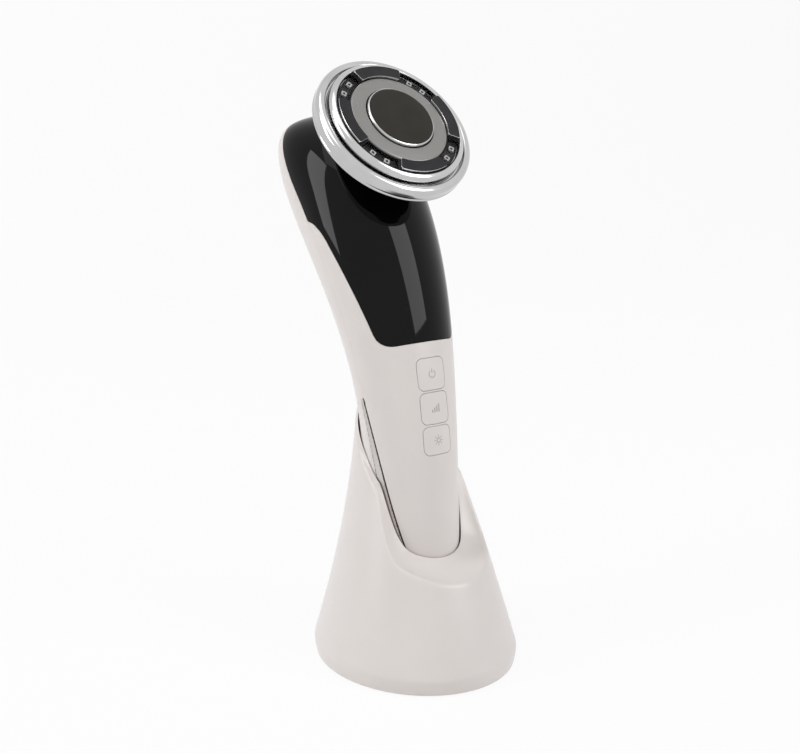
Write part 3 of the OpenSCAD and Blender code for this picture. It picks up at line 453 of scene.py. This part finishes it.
WARM = (1, 0.938, 0.905)
looks = {
    "white_plastic": finish("white_plastic", grey(0.735, WARM), grey(0.755, WARM), (0.3, 0.36), 60, 0.004, 2500,
                            Coat_Weight=0.15, Coat_Roughness=0.25),
    "black_gloss": finish("black_gloss", grey(0.0012), grey(0.002), (0.03, 0.05), 60, 0.0,
                          Specular_IOR_Level=0.15),
    "base_plastic": finish("base_plastic", grey(0.6, WARM), grey(0.64, WARM), (0.5, 0.58), 200, 0.02, 1800),
    "dark_plastic": finish("dark_plastic", grey(0.012), grey(0.02), (0.45, 0.55), 300, 0.02, 2000),
    "pad_rubber": finish("pad_rubber", grey(0.02), grey(0.03), (0.75, 0.88), 500, 0.03, 2400),
    "ballast_iron": finish("ballast_iron", grey(0.09), grey(0.16), (0.5, 0.7), 250, 0.05, 900, metallic=1.0),
    "circuit_board": finish("circuit_board", (0.006, 0.05, 0.02), (0.01, 0.08, 0.03), (0.32, 0.42), 500, 0.01, 1500),
    "lamp_board": finish("lamp_board", grey(0.008), grey(0.014), (0.5, 0.6), 400, 0.0),
    "steel_fittings": finish("steel_fittings", grey(0.42), grey(0.52), (0.22, 0.34), 300, 0.004, 2000, metallic=1.0),
    "chrome_trim": finish("chrome_trim", grey(0.5), grey(0.57), (0.1, 0.15), 90, 0.0, metallic=1.0),
    "gold_contacts": finish("gold_contacts", (0.62, 0.42, 0.13), (0.75, 0.53, 0.2), (0.16, 0.26), 400, 0.003, 2000,
                            metallic=1.0),
    "satin_ring": finish("satin_ring", (0.205, 0.201, 0.195), (0.3, 0.296, 0.284), (0.28, 0.38), 500, 0.003, 3000,
                         metallic=0.5, turned=0.45),
    # Dark top of the steel centre plate: a painted reflection, while the plate's rounded edge keeps the chrome.
    "dark_plate": finish("dark_plate", (0.028, 0.025, 0.02), (0.034, 0.031, 0.025), (0.16, 0.22), 120, 0.0,
                         metallic=0.4, Specular_IOR_Level=0.15),
    "satin_strip": finish("satin_strip", grey(0.56, WARM), grey(0.62, WARM), (0.16, 0.2), 90, 0.0, metallic=1.0),
    # Dark tops of the chrome electrode arcs: a painted reflection, the dark surroundings painted onto chrome.
    "arc_top_painted_dark": finish("arc_top_painted_dark", (0.02, 0.019, 0.021), (0.03, 0.028, 0.031), (0.18, 0.26), 200, 0.0, metallic=0.4,
                      Specular_IOR_Level=0.2),
    "window_plastic": finish("window_plastic", grey(0.004), grey(0.007), (0.03, 0.06), 60, 0.0, Alpha=0.12,
                             Specular_IOR_Level=0.3),
    "led_lamp": finish("led_lamp", grey(0.84), grey(0.9), (0.35, 0.45), 900, 0.0),
    "lamp_core": finish("lamp_core", grey(0.03), grey(0.05), (0.2, 0.3), 900, 0.0),
    "battery_wrap": finish("battery_wrap", (0.03, 0.1, 0.32), (0.04, 0.13, 0.4), (0.3, 0.42), 150, 0.006, 900),
    "cable_tape": finish("cable_tape", (0.46, 0.43, 0.36), (0.54, 0.5, 0.42), (0.4, 0.5), 300, 0.004, 1500),
    "cooler_ceramic": finish("cooler_ceramic", (0.66, 0.63, 0.57), (0.72, 0.69, 0.63), (0.5, 0.6), 400, 0.006, 1500),
    "sink_aluminium": finish("sink_aluminium", grey(0.5), grey(0.6), (0.28, 0.42), 250, 0.006, 1200, metallic=1.0),
    "key_mark": finish("key_mark", grey(0.42, WARM), grey(0.47, WARM), (0.4, 0.5), 400, 0.0),
}

for row in frame["record"]["subparts"]:
    node = frame["nodes"][row["node"]]
    node.data.materials.clear()
    node.data.materials.append(looks[row["material_slot"]])


def dress(obj, body, slot, replaced=None, look=None):
    """Rides a piece on its body, gives it its finish, which is the slot's own unless another look is given, and hides
    the CAD node that it replaces.
    """
    obj.data.materials.append(looks[look or slot])
    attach(obj, body)
    if replaced:
        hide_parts(replaced)
    return obj


# ---------------------------------------------------------------- handset shells

def spaced(spans):
    """Places along a line from (end, step) pairs, starting at the first pair's end."""
    places = [spans[0][0]]
    for end, step in spans[1:]:
        count = max(1, round((end - places[-1]) / step))
        places += list(np.linspace(places[-1], end, count + 1)[1:])
    return np.array(places)


COARSE, FINE = 1.5, 0.42
quarter = np.radians(spaced([(-90, 0), (-16, 4.2), (16, 2.2), (62, 3.2), (90, 1.4)]))
column_angles = np.concatenate([quarter, np.pi - quarter[-2:0:-1]])
crown_places = HEAD_S + (TIP_S - HEAD_S) * np.sin(np.radians(np.linspace(0, 89.2, 34))) ** 0.7
row_places = np.concatenate([
    spaced([(0, 0), (0.05, 0.05), (0.4, 0.18), (1.6, 0.4), (8, 0.8), (58, COARSE), (94, FINE), (97, 0.7),
            (HEAD_S, COARSE)]), crown_places[1:]])
body_points = body_point(row_places[:, None], column_angles[None, :])
cols = len(column_angles)
body_faces = grid_faces(len(row_places), cols, True)
tip = (len(row_places) - 1) * cols  # the last row, closed from side to side
body_faces += [(tip, tip + 1, tip + cols - 1), (tip + cols // 2 - 1, tip + cols // 2, tip + cols // 2 + 1)]
body_faces += [(tip + k, tip + k + 1, tip + cols - k - 1, tip + cols - k) for k in range(1, cols // 2 - 1)]
BODY = (body_points.reshape(-1, 3), body_faces)


def outward_skin(skin, normal_of):
    """The skin with its faces turned to the outside."""
    points, faces = skin
    a, b, c = (points[[face[i] for face in faces]] for i in (0, 1, 2))
    turned = (np.cross(b - a, c - a) * normal_of(a)).sum()
    return (points, faces) if turned > 0 else (points, [face[::-1] for face in faces])


BODY = outward_skin(BODY, body_normal)


def body_piece(name, fields, thick, edge, proud=0, skin=BODY, key_walls=0):
    """Piece of the handset's skin, cut by fields, with the skin's own normals. Within key_walls of a key, its walls
    run the way that the key is pressed."""
    for field in fields:
        skin = carve(skin, field)
    points = settle(skin[0])
    normals = body_normal(points)
    depth = normals
    if key_walls:
        near = np.maximum.reduce([key_field(points, key) for key in KEYS])
        depth = mix(normals, KEY_OUT, np.clip(2 + 2 * near / key_walls, 0, 1)[:, None])
    return make(name, *shell((points + proud * normals, skin[1]), normals, thick + proud, edge, depth=depth))


def above_cap(points):
    return points[:, 2] - TAIL_Z - CAP_T - CAP_SEAM


def off_strip(points):
    return -strip_field(points) - SEAM_GAP


def off_panel(points):
    return -panel_field(points) - SEAM_GAP


def off_key(key):
    return lambda points: -key_field(points, key, KEY_CLEAR)


front = body_piece("front_cover", [above_cap, lambda p: front_field(p) - FINE_SEAM, off_panel, off_strip,
                                   *[off_key(key) for key in KEYS]], SHELL_T,
                   SHELL_EDGE, key_walls=KEY_WALLS)
dress(front, "handset", "white_plastic", "front_shell")
panel = body_piece("head_cover", [panel_field, lambda p: front_field(p) - SEAM_GAP / 2, neck_field],
                   SHELL_T, PANEL_EDGE)
dress(panel, "handset", "black_gloss", "head_panel")
rear = body_piece("rear_cover", [above_cap, lambda p: -front_field(p) - FINE_SEAM, off_strip], SHELL_T,
                  SHELL_EDGE)
dress(rear, "handset", "white_plastic", "rear_shell")


def strip_shape(points):
    """The side electrode's outline, drawn back along its front edge."""
    return np.minimum(strip_field(points), polygon_field(points[:, 1] - STRIP_SEAL, points[:, 2], STRIP))


strip_rows, strip_turns = np.arange(18.4, 81.2, 0.45), np.radians(np.arange(-24, 78, 1.1))
for name, turns in (("side_strip_left", strip_turns), ("side_strip_right", math.pi - strip_turns)):
    patch = body_point(strip_rows[:, None], turns[None, :])
    patch = outward_skin((patch.reshape(-1, 3), grid_faces(len(strip_rows), len(turns), False)), body_normal)
    strip = body_piece(name.replace("strip", "electrode"), [strip_shape], STRIP_T, STRIP_EDGE, STRIP_PROUD,
                       patch)
    dress(strip, "handset", "chrome_trim", name, "satin_strip")
    # The strip's front side walls, in its gap to the shell, get the dark plastic finish: painted shade standing in for
    # the shadow in that gap.
    strip.data.materials.append(looks["dark_plastic"])
    centres = np.array([face.center for face in strip.data.polygons]) / MM
    middles = STRIP_TOP_Y - (STRIP_TOP_Z - centres[:, 2]) * math.tan(STRIP_LEAN)
    for face, centre, middle, outside in zip(strip.data.polygons, centres, middles, body_normal(centres)):
        if centre[1] < middle and face.normal.dot(Vector(outside)) < 0.8:
            face.material_index = 1
for key in KEYS:
    cap = body_piece(key + "_cap", [lambda p: key_field(p, key, KEY_GROW)], KEY_T, KEY_EDGE, key_walls=KEY_WALLS)
    dress(cap, key, "white_plastic", key)

# ---------------------------------------------------------------- key marks


def on_surface(x, z):
    """Points of the outer surface in front of local key coordinates."""
    points = KEY_ORIGIN + x[..., None] * np.array([1, 0, 0]) + z[..., None] * KEY_UP + 16.0 * KEY_OUT
    for _ in range(6):
        s, f = place(points)
        w, d = half_sizes(s)
        points = points + (d * np.sqrt(1 - (points[..., 0] / w) ** 2) - f)[..., None] * KEY_OUT
    return points


def bar_field(u, v, x0, y0, x1, y1, r):
    """Distance inside a stroke with round ends."""
    run_u, run_v = x1 - x0, y1 - y0
    t = np.clip(((u - x0) * run_u + (v - y0) * run_v) / (run_u ** 2 + run_v ** 2), 0, 1)
    return r - np.hypot(u - x0 - t * run_u, v - y0 - t * run_v)


def ring_field(u, v, radius, r):
    return r - np.abs(np.hypot(u, v) - radius)


STROKE = 0.17


def power_mark(u, v):
    ring = np.where(np.abs(np.arctan2(u, v)) > math.radians(34), ring_field(u, v, 1.25, STROKE), -1)
    return np.maximum(ring, bar_field(u, v, 0, 0.35, 0, 1.6, STROKE))


def level_mark(u, v):
    return np.maximum.reduce([bar_field(u, v, x, -1.2, x, top, 0.26) for x, top in
                              ((-1.35, -0.6), (-0.45, 0), (0.45, 0.6), (1.35, 1.2))])


def light_mark(u, v):
    rays = [bar_field(u, v, 1.25 * math.cos(a), 1.25 * math.sin(a), 1.7 * math.cos(a), 1.7 * math.sin(a), 0.14)
            for a in np.radians(range(0, 360, 45))]
    return np.maximum.reduce([ring_field(u, v, 0.72, STROKE)] + rays)


MARK_CELL = 0.09
for key, mark in (("key_power", power_mark), ("key_level", level_mark), ("key_light", light_mark)):
    axis = np.arange(-2.2, 2.2 + MARK_CELL, MARK_CELL)
    u, v = np.meshgrid(axis, axis)
    skin = (on_surface(u, v + KEYS[key][0]).reshape(-1, 3), grid_faces(len(axis), len(axis), False))
    skin = outward_skin(skin, body_normal)

    def mark_field(points, mark=mark, at=KEYS[key][0]):
        rel = points - KEY_ORIGIN
        return mark(rel[:, 0], rel @ KEY_UP - at)

    skin = carve(skin, mark_field)
    normals = body_normal(skin[0])
    printed = make(key + "_mark", *shell((skin[0] + 0.015 * normals, skin[1]), normals, 0.03, 0.005, 1))
    dress(printed, key, "white_plastic", look="key_mark")

# ---------------------------------------------------------------- treatment head


def face_points(r, angle, h):
    """Points in the treatment face's frame: radius, angle and height over the black ring."""
    r, angle, h = np.broadcast_arrays(r, angle, h)
    return FACE + (r * np.cos(angle))[..., None] * np.array([1, 0, 0]) \
        + (r * np.sin(angle))[..., None] * FACE_UP + h[..., None] * FACE_OUT


def rounded(profile, radii, steps=4):
    """Closed profile with its corners rounded, each by its own radius."""
    profile = [np.array(p, float) for p in profile]
    points = []
    for i, corner in enumerate(profile):
        back, on = profile[i - 1] - corner, profile[(i + 1) % len(profile)] - corner
        reach = min(radii[i], 0.48 * np.linalg.norm(back), 0.48 * np.linalg.norm(on))
        if reach < 0.01:
            points.append(corner)
            continue
        start = corner + back / np.linalg.norm(back) * reach
        end = corner + on / np.linalg.norm(on) * reach
        for k in range(steps + 1):
            t = k / steps
            points.append((1 - t) ** 2 * start + 2 * t * (1 - t) * corner + t * t * end)
    return np.array(points)


def lathe(name, profile, radii, cols=192):
    """Ring turned about the treatment face's axis from a closed profile."""
    outline = rounded(profile, radii)
    angle = np.linspace(0, 2 * np.pi, cols, endpoint=False)
    points = face_points(outline[:, 0][:, None], angle[None, :], outline[:, 1][:, None])
    rows = len(outline)
    wrap = np.concatenate([points, points[:1]]).reshape(-1, 3)
    return make(name, wrap, grid_faces(rows + 1, cols, True), outward=True, sharp=32)


BEZEL_R, STEP_R, RING_R, CUP_R = 28.5, 24.8, 22.6, 22.2
UNDERSIDE_R, UNDERSIDE_H = 25, -8.3
bezel = lathe("head_rim", [
    (9.3, -8.5), (25.2, -8.5), (27.3, -8.0), (28.3, -7.3), (BEZEL_R, -6.7), (28.25, -6.15), (28.45, -5.6),
    (BEZEL_R, -3.8), (28.2, -2.8), (27.4, -2.15), (26.3, -2.0), (25.65, -2.3), (25.5, -4.2), (STEP_R, -4.2),
    (STEP_R, -1.3),
    (24.5, -0.5), (23.8, 0.05), (23.2, 0.3), (22.95, 0.3), (22.7, 0.1), (22.7, -1.4), (CUP_R, -1.4), (CUP_R, -7),
    (9.3, -7)],
    [0.2, 0.7, 0.6, 0.4, 0.3, 0.1, 0.3, 0.7, 0.6, 0.6, 0.5, 0.35, 0.2, 0.2, 0.3, 0.4, 0.3, 0.15, 0.1, 0.1, 0.1,
     0.1, 0.1, 0.2])
dress(bezel, "handset", "chrome_trim", "head_bezel")
bezel.data.materials.append(looks["black_gloss"])
for face in bezel.data.polygons:
    rel = np.array(face.center) / MM - FACE
    if rel @ FACE_OUT < UNDERSIDE_H and np.hypot(rel[0], rel @ FACE_UP) < UNDERSIDE_R:
        face.material_index = 1
neck = lathe("neck_tube", [(9.6, -24.5), (NECK_R, -24.5), (NECK_R, -9.4), (9.6, -9.4)], [0.2, 0.2, 0.35, 0.2])
dress(neck, "handset", "black_gloss", "head_neck")

PLATE_R, ARC_IN, ARC_OUT = 12.2, 17.9, 22.3
ring = lathe("contact_band", [
    (12.5, -1.31), (16.85, -1.31), (16.85, -1.25), (17.75, -1.25), (17.75, 0.1), (17.4, 0.4), (15, 0.72),
    (12.9, 0.95), (12.5, 0.8)], [0.05, 0.05, 0.05, 0.05, 0.2, 0.25, 0.8, 0.2, 0.1])
dress(ring, "handset", "satin_ring", "contact_ring")
plate = lathe("centre_plate", [
    (0.001, -0.2), (11.6, -0.2), (PLATE_R, 0.4), (PLATE_R, 1.25), (12.05, 1.65), (11.6, 1.86), (10.9, 1.9),
    (0.001, 1.9)], [0, 0.3, 0.3, 0.3, 0.3, 0.3, 0.3, 0])
dress(plate, "handset", "dark_plate", "contact_plate")
plate.data.materials.append(looks["chrome_trim"])


def paint_sides(obj, limit):
    """Gives faces that don't look out of the treatment face the object's second finish. The faces that look out keep
    the first finish, which on the centre plate and the arcs is a dark painted reflection.
    """
    out = Vector(FACE_OUT)
    for face in obj.data.polygons:
        if face.normal.dot(out) < limit:
            face.material_index = 1


paint_sides(plate, 0.93)


def face_skin(r_in, r_out, start, end, height, cell):
    """Flat patch of the treatment face between two radii and two angles in degrees."""
    radii = np.linspace(r_in, r_out, max(2, round((r_out - r_in) / cell)) + 1)
    closed = end - start >= 360
    count = round(math.radians(end - start) * r_out / cell)
    angles = np.radians(np.linspace(start, end, count + (0 if closed else 1), endpoint=not closed))
    points = face_points(radii[:, None], angles[None, :], np.full((1, 1), height))
    skin = (points.reshape(-1, 3), grid_faces(len(radii), len(angles), closed))
    return outward_skin(skin, lambda p: np.broadcast_to(FACE_OUT, p.shape))


def sector_field(points, middle, wide, r_in, r_out, r):
    """Signed distance to a rounded ring sector, positive inside."""
    rel = points - FACE
    x, y = rel[:, 0], rel @ FACE_UP
    radius = np.hypot(x, y)
    turn = np.degrees(np.arctan2(y, x)) - middle
    turn = (turn + 180) % 360 - 180
    mid = (r_in + r_out) / 2
    return box_field(np.radians(turn) * radius, radius - mid, math.radians(wide) * radius, r_out - r_in, r)


def flat_solid(name, skin, thick, edge, steps=3):
    normals = np.broadcast_to(FACE_OUT, skin[0].shape)
    return make(name, *shell(skin, normals, thick, edge, steps))


def join(name, pieces):
    """One object from several, with their meshes at the origin."""
    for obj in bpy.context.selected_objects:
        obj.select_set(False)
    for obj in pieces:
        obj.select_set(True)
    bpy.context.view_layer.objects.active = pieces[0]
    bpy.ops.object.join()
    pieces[0].name = name
    return pieces[0]


WINDOW_ANGLES = (45, 135, 225, 315)
ARC_ANGLES = (0, 90, 180, 270)
WINDOW_IN, WINDOW_OUT, WINDOW_WIDE = 18.3, 22.35, 36
WINDOW_TOP, WINDOW_T, ARC_TOP, ARC_T, ARC_WIDE, RING_T = -0.02, 0.53, 1.2, 1.18, 50, 1.35
LAMP_R, LAMP_TURN, LAMP_TOP, LAMP_W, EYE_R = 20.2, 7.5, -0.65, 1.9, 0.52

skin = face_skin(ARC_IN, RING_R, 0, 360, 0, 0.45)
for middle in WINDOW_ANGLES:
    skin = carve(skin, lambda p: -sector_field(p, middle, WINDOW_WIDE, WINDOW_IN, WINDOW_OUT, 0.5))
dress(flat_solid("lamp_bezel", skin, RING_T, 0.1), "handset", "black_gloss", "face_ring")

windows = []
for middle in WINDOW_ANGLES:
    skin = face_skin(WINDOW_IN - 0.2, WINDOW_OUT + 0.2, middle - 20, middle + 20, WINDOW_TOP, 0.35)
    skin = carve(skin, lambda p: sector_field(p, middle, WINDOW_WIDE - 0.4, WINDOW_IN + 0.06, WINDOW_OUT - 0.06, 0.45))
    windows.append(flat_solid("window", skin, WINDOW_T, 0.08))
dress(join("lamp_windows", windows), "handset", "window_plastic", "led_windows")

arcs = []
for middle in ARC_ANGLES:
    skin = face_skin(ARC_IN - 0.2, ARC_OUT + 0.2, middle - 28, middle + 28, ARC_TOP, 0.3)
    skin = carve(skin, lambda p: sector_field(p, middle, ARC_WIDE, ARC_IN + 0.05, ARC_OUT, 0.7))
    arcs.append(flat_solid("arc", skin, ARC_T, 0.28, 4))
arcs = dress(join("raised_electrodes", arcs), "handset", "chrome_trim", "electrode_arcs", look="arc_top_painted_dark")
arcs.data.materials.append(looks["chrome_trim"])
# The arcs' flat tops keep the dark look, a painted reflection on chrome, and their sides and ends get the chrome.
paint_sides(arcs, 0.8)


def lamp(angle):
    """Lamp body with a rounded square rim and a dark core."""
    centre = face_points(LAMP_R, math.radians(angle), np.array(LAMP_TOP))
    radial = Vector((math.cos(math.radians(angle)), math.sin(math.radians(angle))))
    axis = np.arange(-1.05, 1.06, 0.1)
    u, v = np.meshgrid(axis, axis)
    x = u * radial.x - v * radial.y
    y = u * radial.y + v * radial.x
    points = centre + x[..., None] * np.array([1, 0, 0]) + y[..., None] * FACE_UP
    skin = outward_skin((points.reshape(-1, 3), grid_faces(len(axis), len(axis), False)),
                        lambda p: np.broadcast_to(FACE_OUT, p.shape))

    def local(points):
        rel = points - centre
        a, b = rel[:, 0], rel @ FACE_UP
        return a * radial.x + b * radial.y, b * radial.x - a * radial.y

    body = carve(skin, lambda p: box_field(*local(p), LAMP_W, LAMP_W, 0.35))
    body = carve(body, lambda p: np.hypot(*local(p)) - EYE_R)
    core = carve(skin, lambda p: EYE_R - 0.02 - np.hypot(*local(p)))
    core = (core[0] - 0.2 * FACE_OUT, core[1])
    return flat_solid("lamp", body, 0.7, 0.08, 2), flat_solid("core", core, 0.4, 0.04, 1)


lamps = [lamp(middle + turn) for middle in WINDOW_ANGLES for turn in (-LAMP_TURN, LAMP_TURN)]
dress(join("lamp_bodies", [body for body, _ in lamps]), "handset", "led_lamp", "led_chips")
dress(join("lamp_cores", [core for _, core in lamps]), "handset", "led_lamp", look="lamp_core")

# ---------------------------------------------------------------- tail cap

disc = np.linspace(0.02, 1, 26)
cap_rows = row_places[row_places <= CAP_T]
ends = body_point(np.array([[0.0]]), column_angles[None, :])
centre = np.array([0, HANDSET_Y, TAIL_Z])
cap_points = np.concatenate([
    centre + disc[:-1, None, None] * (ends - centre),
    body_point(np.append(cap_rows, CAP_T)[:, None], column_angles[None, :])])
cap_skin = (cap_points.reshape(-1, 3), grid_faces(len(cap_points), len(column_angles), True))


def cap_normal(points):
    side = body_normal(points + np.array([0, 0, 1e-3]))
    return np.where((points[:, 2] < TAIL_Z + 1e-3)[:, None], [0, 0, -1], side)


cap_skin = carve(outward_skin(cap_skin, cap_normal), tail_contact_field)
cap = make("tail_cover", *shell(cap_skin, cap_normal(cap_skin[0]), 1.2, 0.1))
dress(cap, "handset", "white_plastic", "tail_cap")

# ---------------------------------------------------------------- stand

FOOT_W, TOP_W, DEPTH_RATIO = 68.6, 28.8, 1.135
FOOT_Z, STAND_H, FLARE, STAND_LEAN, FOOT_Y = 6, 92, 1.22, 9.4, -0.6
WELL_GAP, WELL_TOP_GAP, THIN_WALL, STAND_T = 0.45, 0.2, 0.9, 1.8
WELL_D = TAIL_D / 2 + WELL_GAP
SHELL_LIFT, FOOT_ROUND = 0.6, 0.35
LEG_Z = 14.75
SCOOP = 80
RIM_EDGE = 35.7, 15.2, 17.3, (43.5, 72)
LIP_EDGE = 41.4, 9.4, 16.8, (27, 78.4)


def rise_up(z):
    return np.maximum(0, (z - FOOT_Z) / (STAND_H - FOOT_Z))


def stand_half_w(z):
    w = mix(FOOT_W, TOP_W, 1 - np.maximum(0, 1 - rise_up(z)) ** FLARE) / 2
    return w - 0.9 * np.maximum(0, 1 - z / FOOT_Z) ** 2


def well_half_w(z):
    s = np.maximum(0, z - TAIL_Z)
    gap = mix(WELL_GAP, WELL_TOP_GAP, smooth((z - 62) / 12))
    return mix(GRIP_W, HEAD_W, smooth((s - GRIP_S) / (HEAD_S - GRIP_S))) / 2 + gap


def well_point(a, z, grow=0):
    a, z = np.broadcast_arrays(a, z)
    return np.stack([(well_half_w(z) + grow) * np.sin(a), HANDSET_Y - (WELL_D + grow) * np.cos(a), z], axis=-1)


def stand_point(a, z, inset=0):
    a, z = np.broadcast_arrays(a, z)
    w = stand_half_w(z)
    x = (w - inset) * np.sin(a)
    y = FOOT_Y + STAND_LEAN * rise_up(z) ** 1.9 - (w * DEPTH_RATIO - inset) * np.cos(a) - HANDSET_Y
    push = 1 / np.minimum(1, np.hypot(x / (well_half_w(z) + THIN_WALL), y / (WELL_D + THIN_WALL)))
    return np.stack([x * push, HANDSET_Y + y * push, z], axis=-1)


def edge_height(a, front, dip, step, climb):
    """Height of an edge of the scoop at angles in degrees: front and its rise, a step between two angles, the back."""
    a = np.abs(a)
    turn = np.minimum(SCOOP, a)
    climbed = np.clip((turn - climb[0]) / (climb[1] - climb[0]), 0, 1)
    back = np.sin(np.radians(90 * np.maximum(0, a - SCOOP) / (180 - SCOOP)))
    return front + dip * (turn / SCOOP) ** 2 + step * smooth(climbed ** 2) + (STAND_H - front - dip - step) * back


def bezier(a, b, c, count):
    """Curves from a to c pulled to b, without their first points."""
    return [(1 - t) ** 2 * a + 2 * t * (1 - t) * b + t * t * c for t in np.linspace(0, 1, count + 1)[1:]]


turns = spaced([(0, 0), (38, 1.5), (84, 0.6), (180, 1.5)])
turns = np.concatenate([-turns[-2:0:-1], turns])
angles = np.radians(turns)
rim = edge_height(turns, *RIM_EDGE)
lip = edge_height(turns, *LIP_EDGE)
outer, inner = stand_point(angles, rim), well_point(angles, lip)
width = np.linalg.norm(outer - inner, axis=1)
sag = 0.12 * width


def across(share):
    """Points of the sagging band from the rim (0) to the well (1)."""
    points = mix(outer, inner, share)
    points[:, 2] -= 4 * sag * share[:, 0] * (1 - share[:, 0])
    return points


rim_reach = np.minimum(1.6, 0.35 * width)
lip_reach = np.minimum(0.7, 0.3 * width)
climb_start = SHELL_LIFT + FOOT_ROUND
# rows from the foot up the outer wall, over the lip, down the well, and back inside the wall
rows = [stand_point(angles, SHELL_LIFT, FOOT_ROUND)]
rows += bezier(rows[0], stand_point(angles, SHELL_LIFT), stand_point(angles, climb_start), 3)
for t in (np.linspace(0, 1, 44) ** 1.25)[1:]:
    rows.append(stand_point(angles, mix(climb_start, rim - rim_reach, t)))
rim_share = (rim_reach / width)[:, None]
lip_share = (lip_reach / width)[:, None]
rows += bezier(rows[-1], outer, across(rim_share), 7)
for t in np.linspace(0, 1, 13)[1:]:
    rows.append(across(mix(rim_share, 1 - lip_share, t)))
rows += bezier(rows[-1], inner, well_point(angles, lip - lip_reach), 5)
for t in np.linspace(0, 1, 12)[1:]:
    rows.append(well_point(angles, mix(lip - lip_reach, LEG_Z, t)))
fork = np.minimum(rim, 58) - 1.3 * STAND_T
for t in np.linspace(0, 1, 6):
    rows.append(well_point(angles, mix(LEG_Z, fork, t), STAND_T))
for t in np.linspace(0, 1, 12) ** 0.8:
    rows.append(stand_point(angles, mix(fork, SHELL_LIFT, t), STAND_T))
rows.append(rows[0])
stand_points = np.array(rows)
stand_skin = (stand_points.reshape(-1, 3), grid_faces(len(rows), len(turns), True))
INLET_Z, INLET_W, INLET_H, INLET_R = 8.3, 9.6, 3.9, 1.2


def inlet_field(points):
    hole = box_field(points[:, 0], points[:, 2] - INLET_Z, INLET_W, INLET_H, INLET_R)
    return np.where(points[:, 1] > 10, -hole, 50)


stand_skin = carve(stand_skin, inlet_field)
stand = make("stand_body", *stand_skin, outward=True, sharp=50)
dress(stand, "stand", "white_plastic", "stand_shell")

# ---------------------------------------------------------------- floor, light and camera


def lit_backdrop(name, colour, share):
    """Pale surface that keeps shadows, and looks white to the camera and in reflections."""
    material = finish(name, grey(colour * 0.98), grey(colour), (0.8, 0.9), 12)
    nodes, links = material.node_tree.nodes, material.node_tree.links
    path = nodes.new("ShaderNodeLightPath")
    seen = nodes.new("ShaderNodeMath")
    seen.operation = "MAXIMUM"
    links.new(path.outputs["Is Camera Ray"], seen.inputs[0])
    links.new(path.outputs["Is Glossy Ray"], seen.inputs[1])
    both = nodes.new("ShaderNodeMath")
    both.operation = "MAXIMUM"
    links.new(seen.outputs[0], both.inputs[0])
    links.new(path.outputs["Is Transmission Ray"], both.inputs[1])
    scaled = nodes.new("ShaderNodeMath")
    scaled.operation = "MULTIPLY"
    scaled.inputs[1].default_value = share
    links.new(both.outputs[0], scaled.inputs[0])
    glow = nodes.new("ShaderNodeEmission")
    mixed = nodes.new("ShaderNodeMixShader")
    links.new(scaled.outputs[0], mixed.inputs["Fac"])
    links.new(nodes["Principled BSDF"].outputs[0], mixed.inputs[1])
    links.new(glow.outputs[0], mixed.inputs[2])
    links.new(mixed.outputs[0], nodes["Material Output"].inputs["Surface"])
    return material


floor_mesh = bpy.data.meshes.new("floor")
REACH, SWEEP, SWEEP_Y = 2500, 400, 600
floor_rows = [(-REACH, 0), (SWEEP_Y, 0)]
floor_rows += [(SWEEP_Y + SWEEP * math.sin(a), SWEEP * (1 - math.cos(a))) for a in np.radians(range(6, 91, 6))]
floor_rows += [(SWEEP_Y + SWEEP, REACH)]
floor_points = [(x * MM, y * MM, z * MM) for y, z in floor_rows for x in (-REACH, REACH)]
floor_mesh.from_pydata(floor_points, [], grid_faces(len(floor_rows), 2, False))
floor_mesh.polygons.foreach_set("use_smooth", [True] * len(floor_mesh.polygons))
floor = bpy.data.objects.new("floor", floor_mesh)
bpy.context.scene.collection.objects.link(floor)
floor.data.materials.append(lit_backdrop("pale_floor", 0.86, 0.92))

world = bpy.data.worlds.new("studio")
bpy.context.scene.world = world
world.use_nodes = True
tree = world.node_tree
path = tree.nodes.new("ShaderNodeLightPath")
# white where it is seen or reflected, dimmer as light on the object
diffuse = tree.nodes.new("ShaderNodeMapRange")
diffuse.inputs["To Min"].default_value = 1.0
diffuse.inputs["To Max"].default_value = 0.275
tree.links.new(path.outputs["Is Diffuse Ray"], diffuse.inputs["Value"])
tree.links.new(diffuse.outputs["Result"], tree.nodes["Background"].inputs["Strength"])
tree.nodes["Background"].inputs["Color"].default_value = (1, 1, 1, 1)


def softbox(name, at, aim, size, power):
    """Rectangular light in millimetres that faces its aim."""
    light = bpy.data.lights.new(name, "AREA")
    light.shape = "RECTANGLE"
    light.size, light.size_y = size[0] * MM, size[1] * MM
    light.energy = power
    obj = bpy.data.objects.new(name, light)
    obj.location = Vector(at) * MM
    obj.rotation_euler = (Vector(aim) - Vector(at)).to_track_quat("-Z", "Y").to_euler()
    bpy.context.scene.collection.objects.link(obj)
    return obj


softbox("left_light", (-1109, 297, 760), (0, 0, 100), (400, 1100), 7.8)
softbox("front_light", (508, -1041, 740), (0, 0, 100), (660, 760), 7.3)
softbox("top_light", (-300, -150, 1400), (0, 0, 100), (900, 900), 3.6)

# The camera, as fitted to the photograph.
camera_data = bpy.data.cameras.new("camera")
camera = bpy.data.objects.new("camera", camera_data)
bpy.context.scene.collection.objects.link(camera)
RIGHT = Vector((0.80945, -0.58719, 0))
UP = Vector((0.13767, 0.18977, 0.97213))
AHEAD = Vector((0.57083, 0.78689, -0.23445))
pose = Matrix((RIGHT, UP, -AHEAD)).transposed().to_4x4()
pose.translation = Vector((-257.81, -347.14, 205.34)) * MM
camera.matrix_world = pose
camera_data.lens = 58.5
camera_data.sensor_width = 36
camera_data.clip_start = 0.01
camera_data.clip_end = 20
bpy.context.scene.camera = camera
bpy.context.scene.view_settings.view_transform = "Standard"
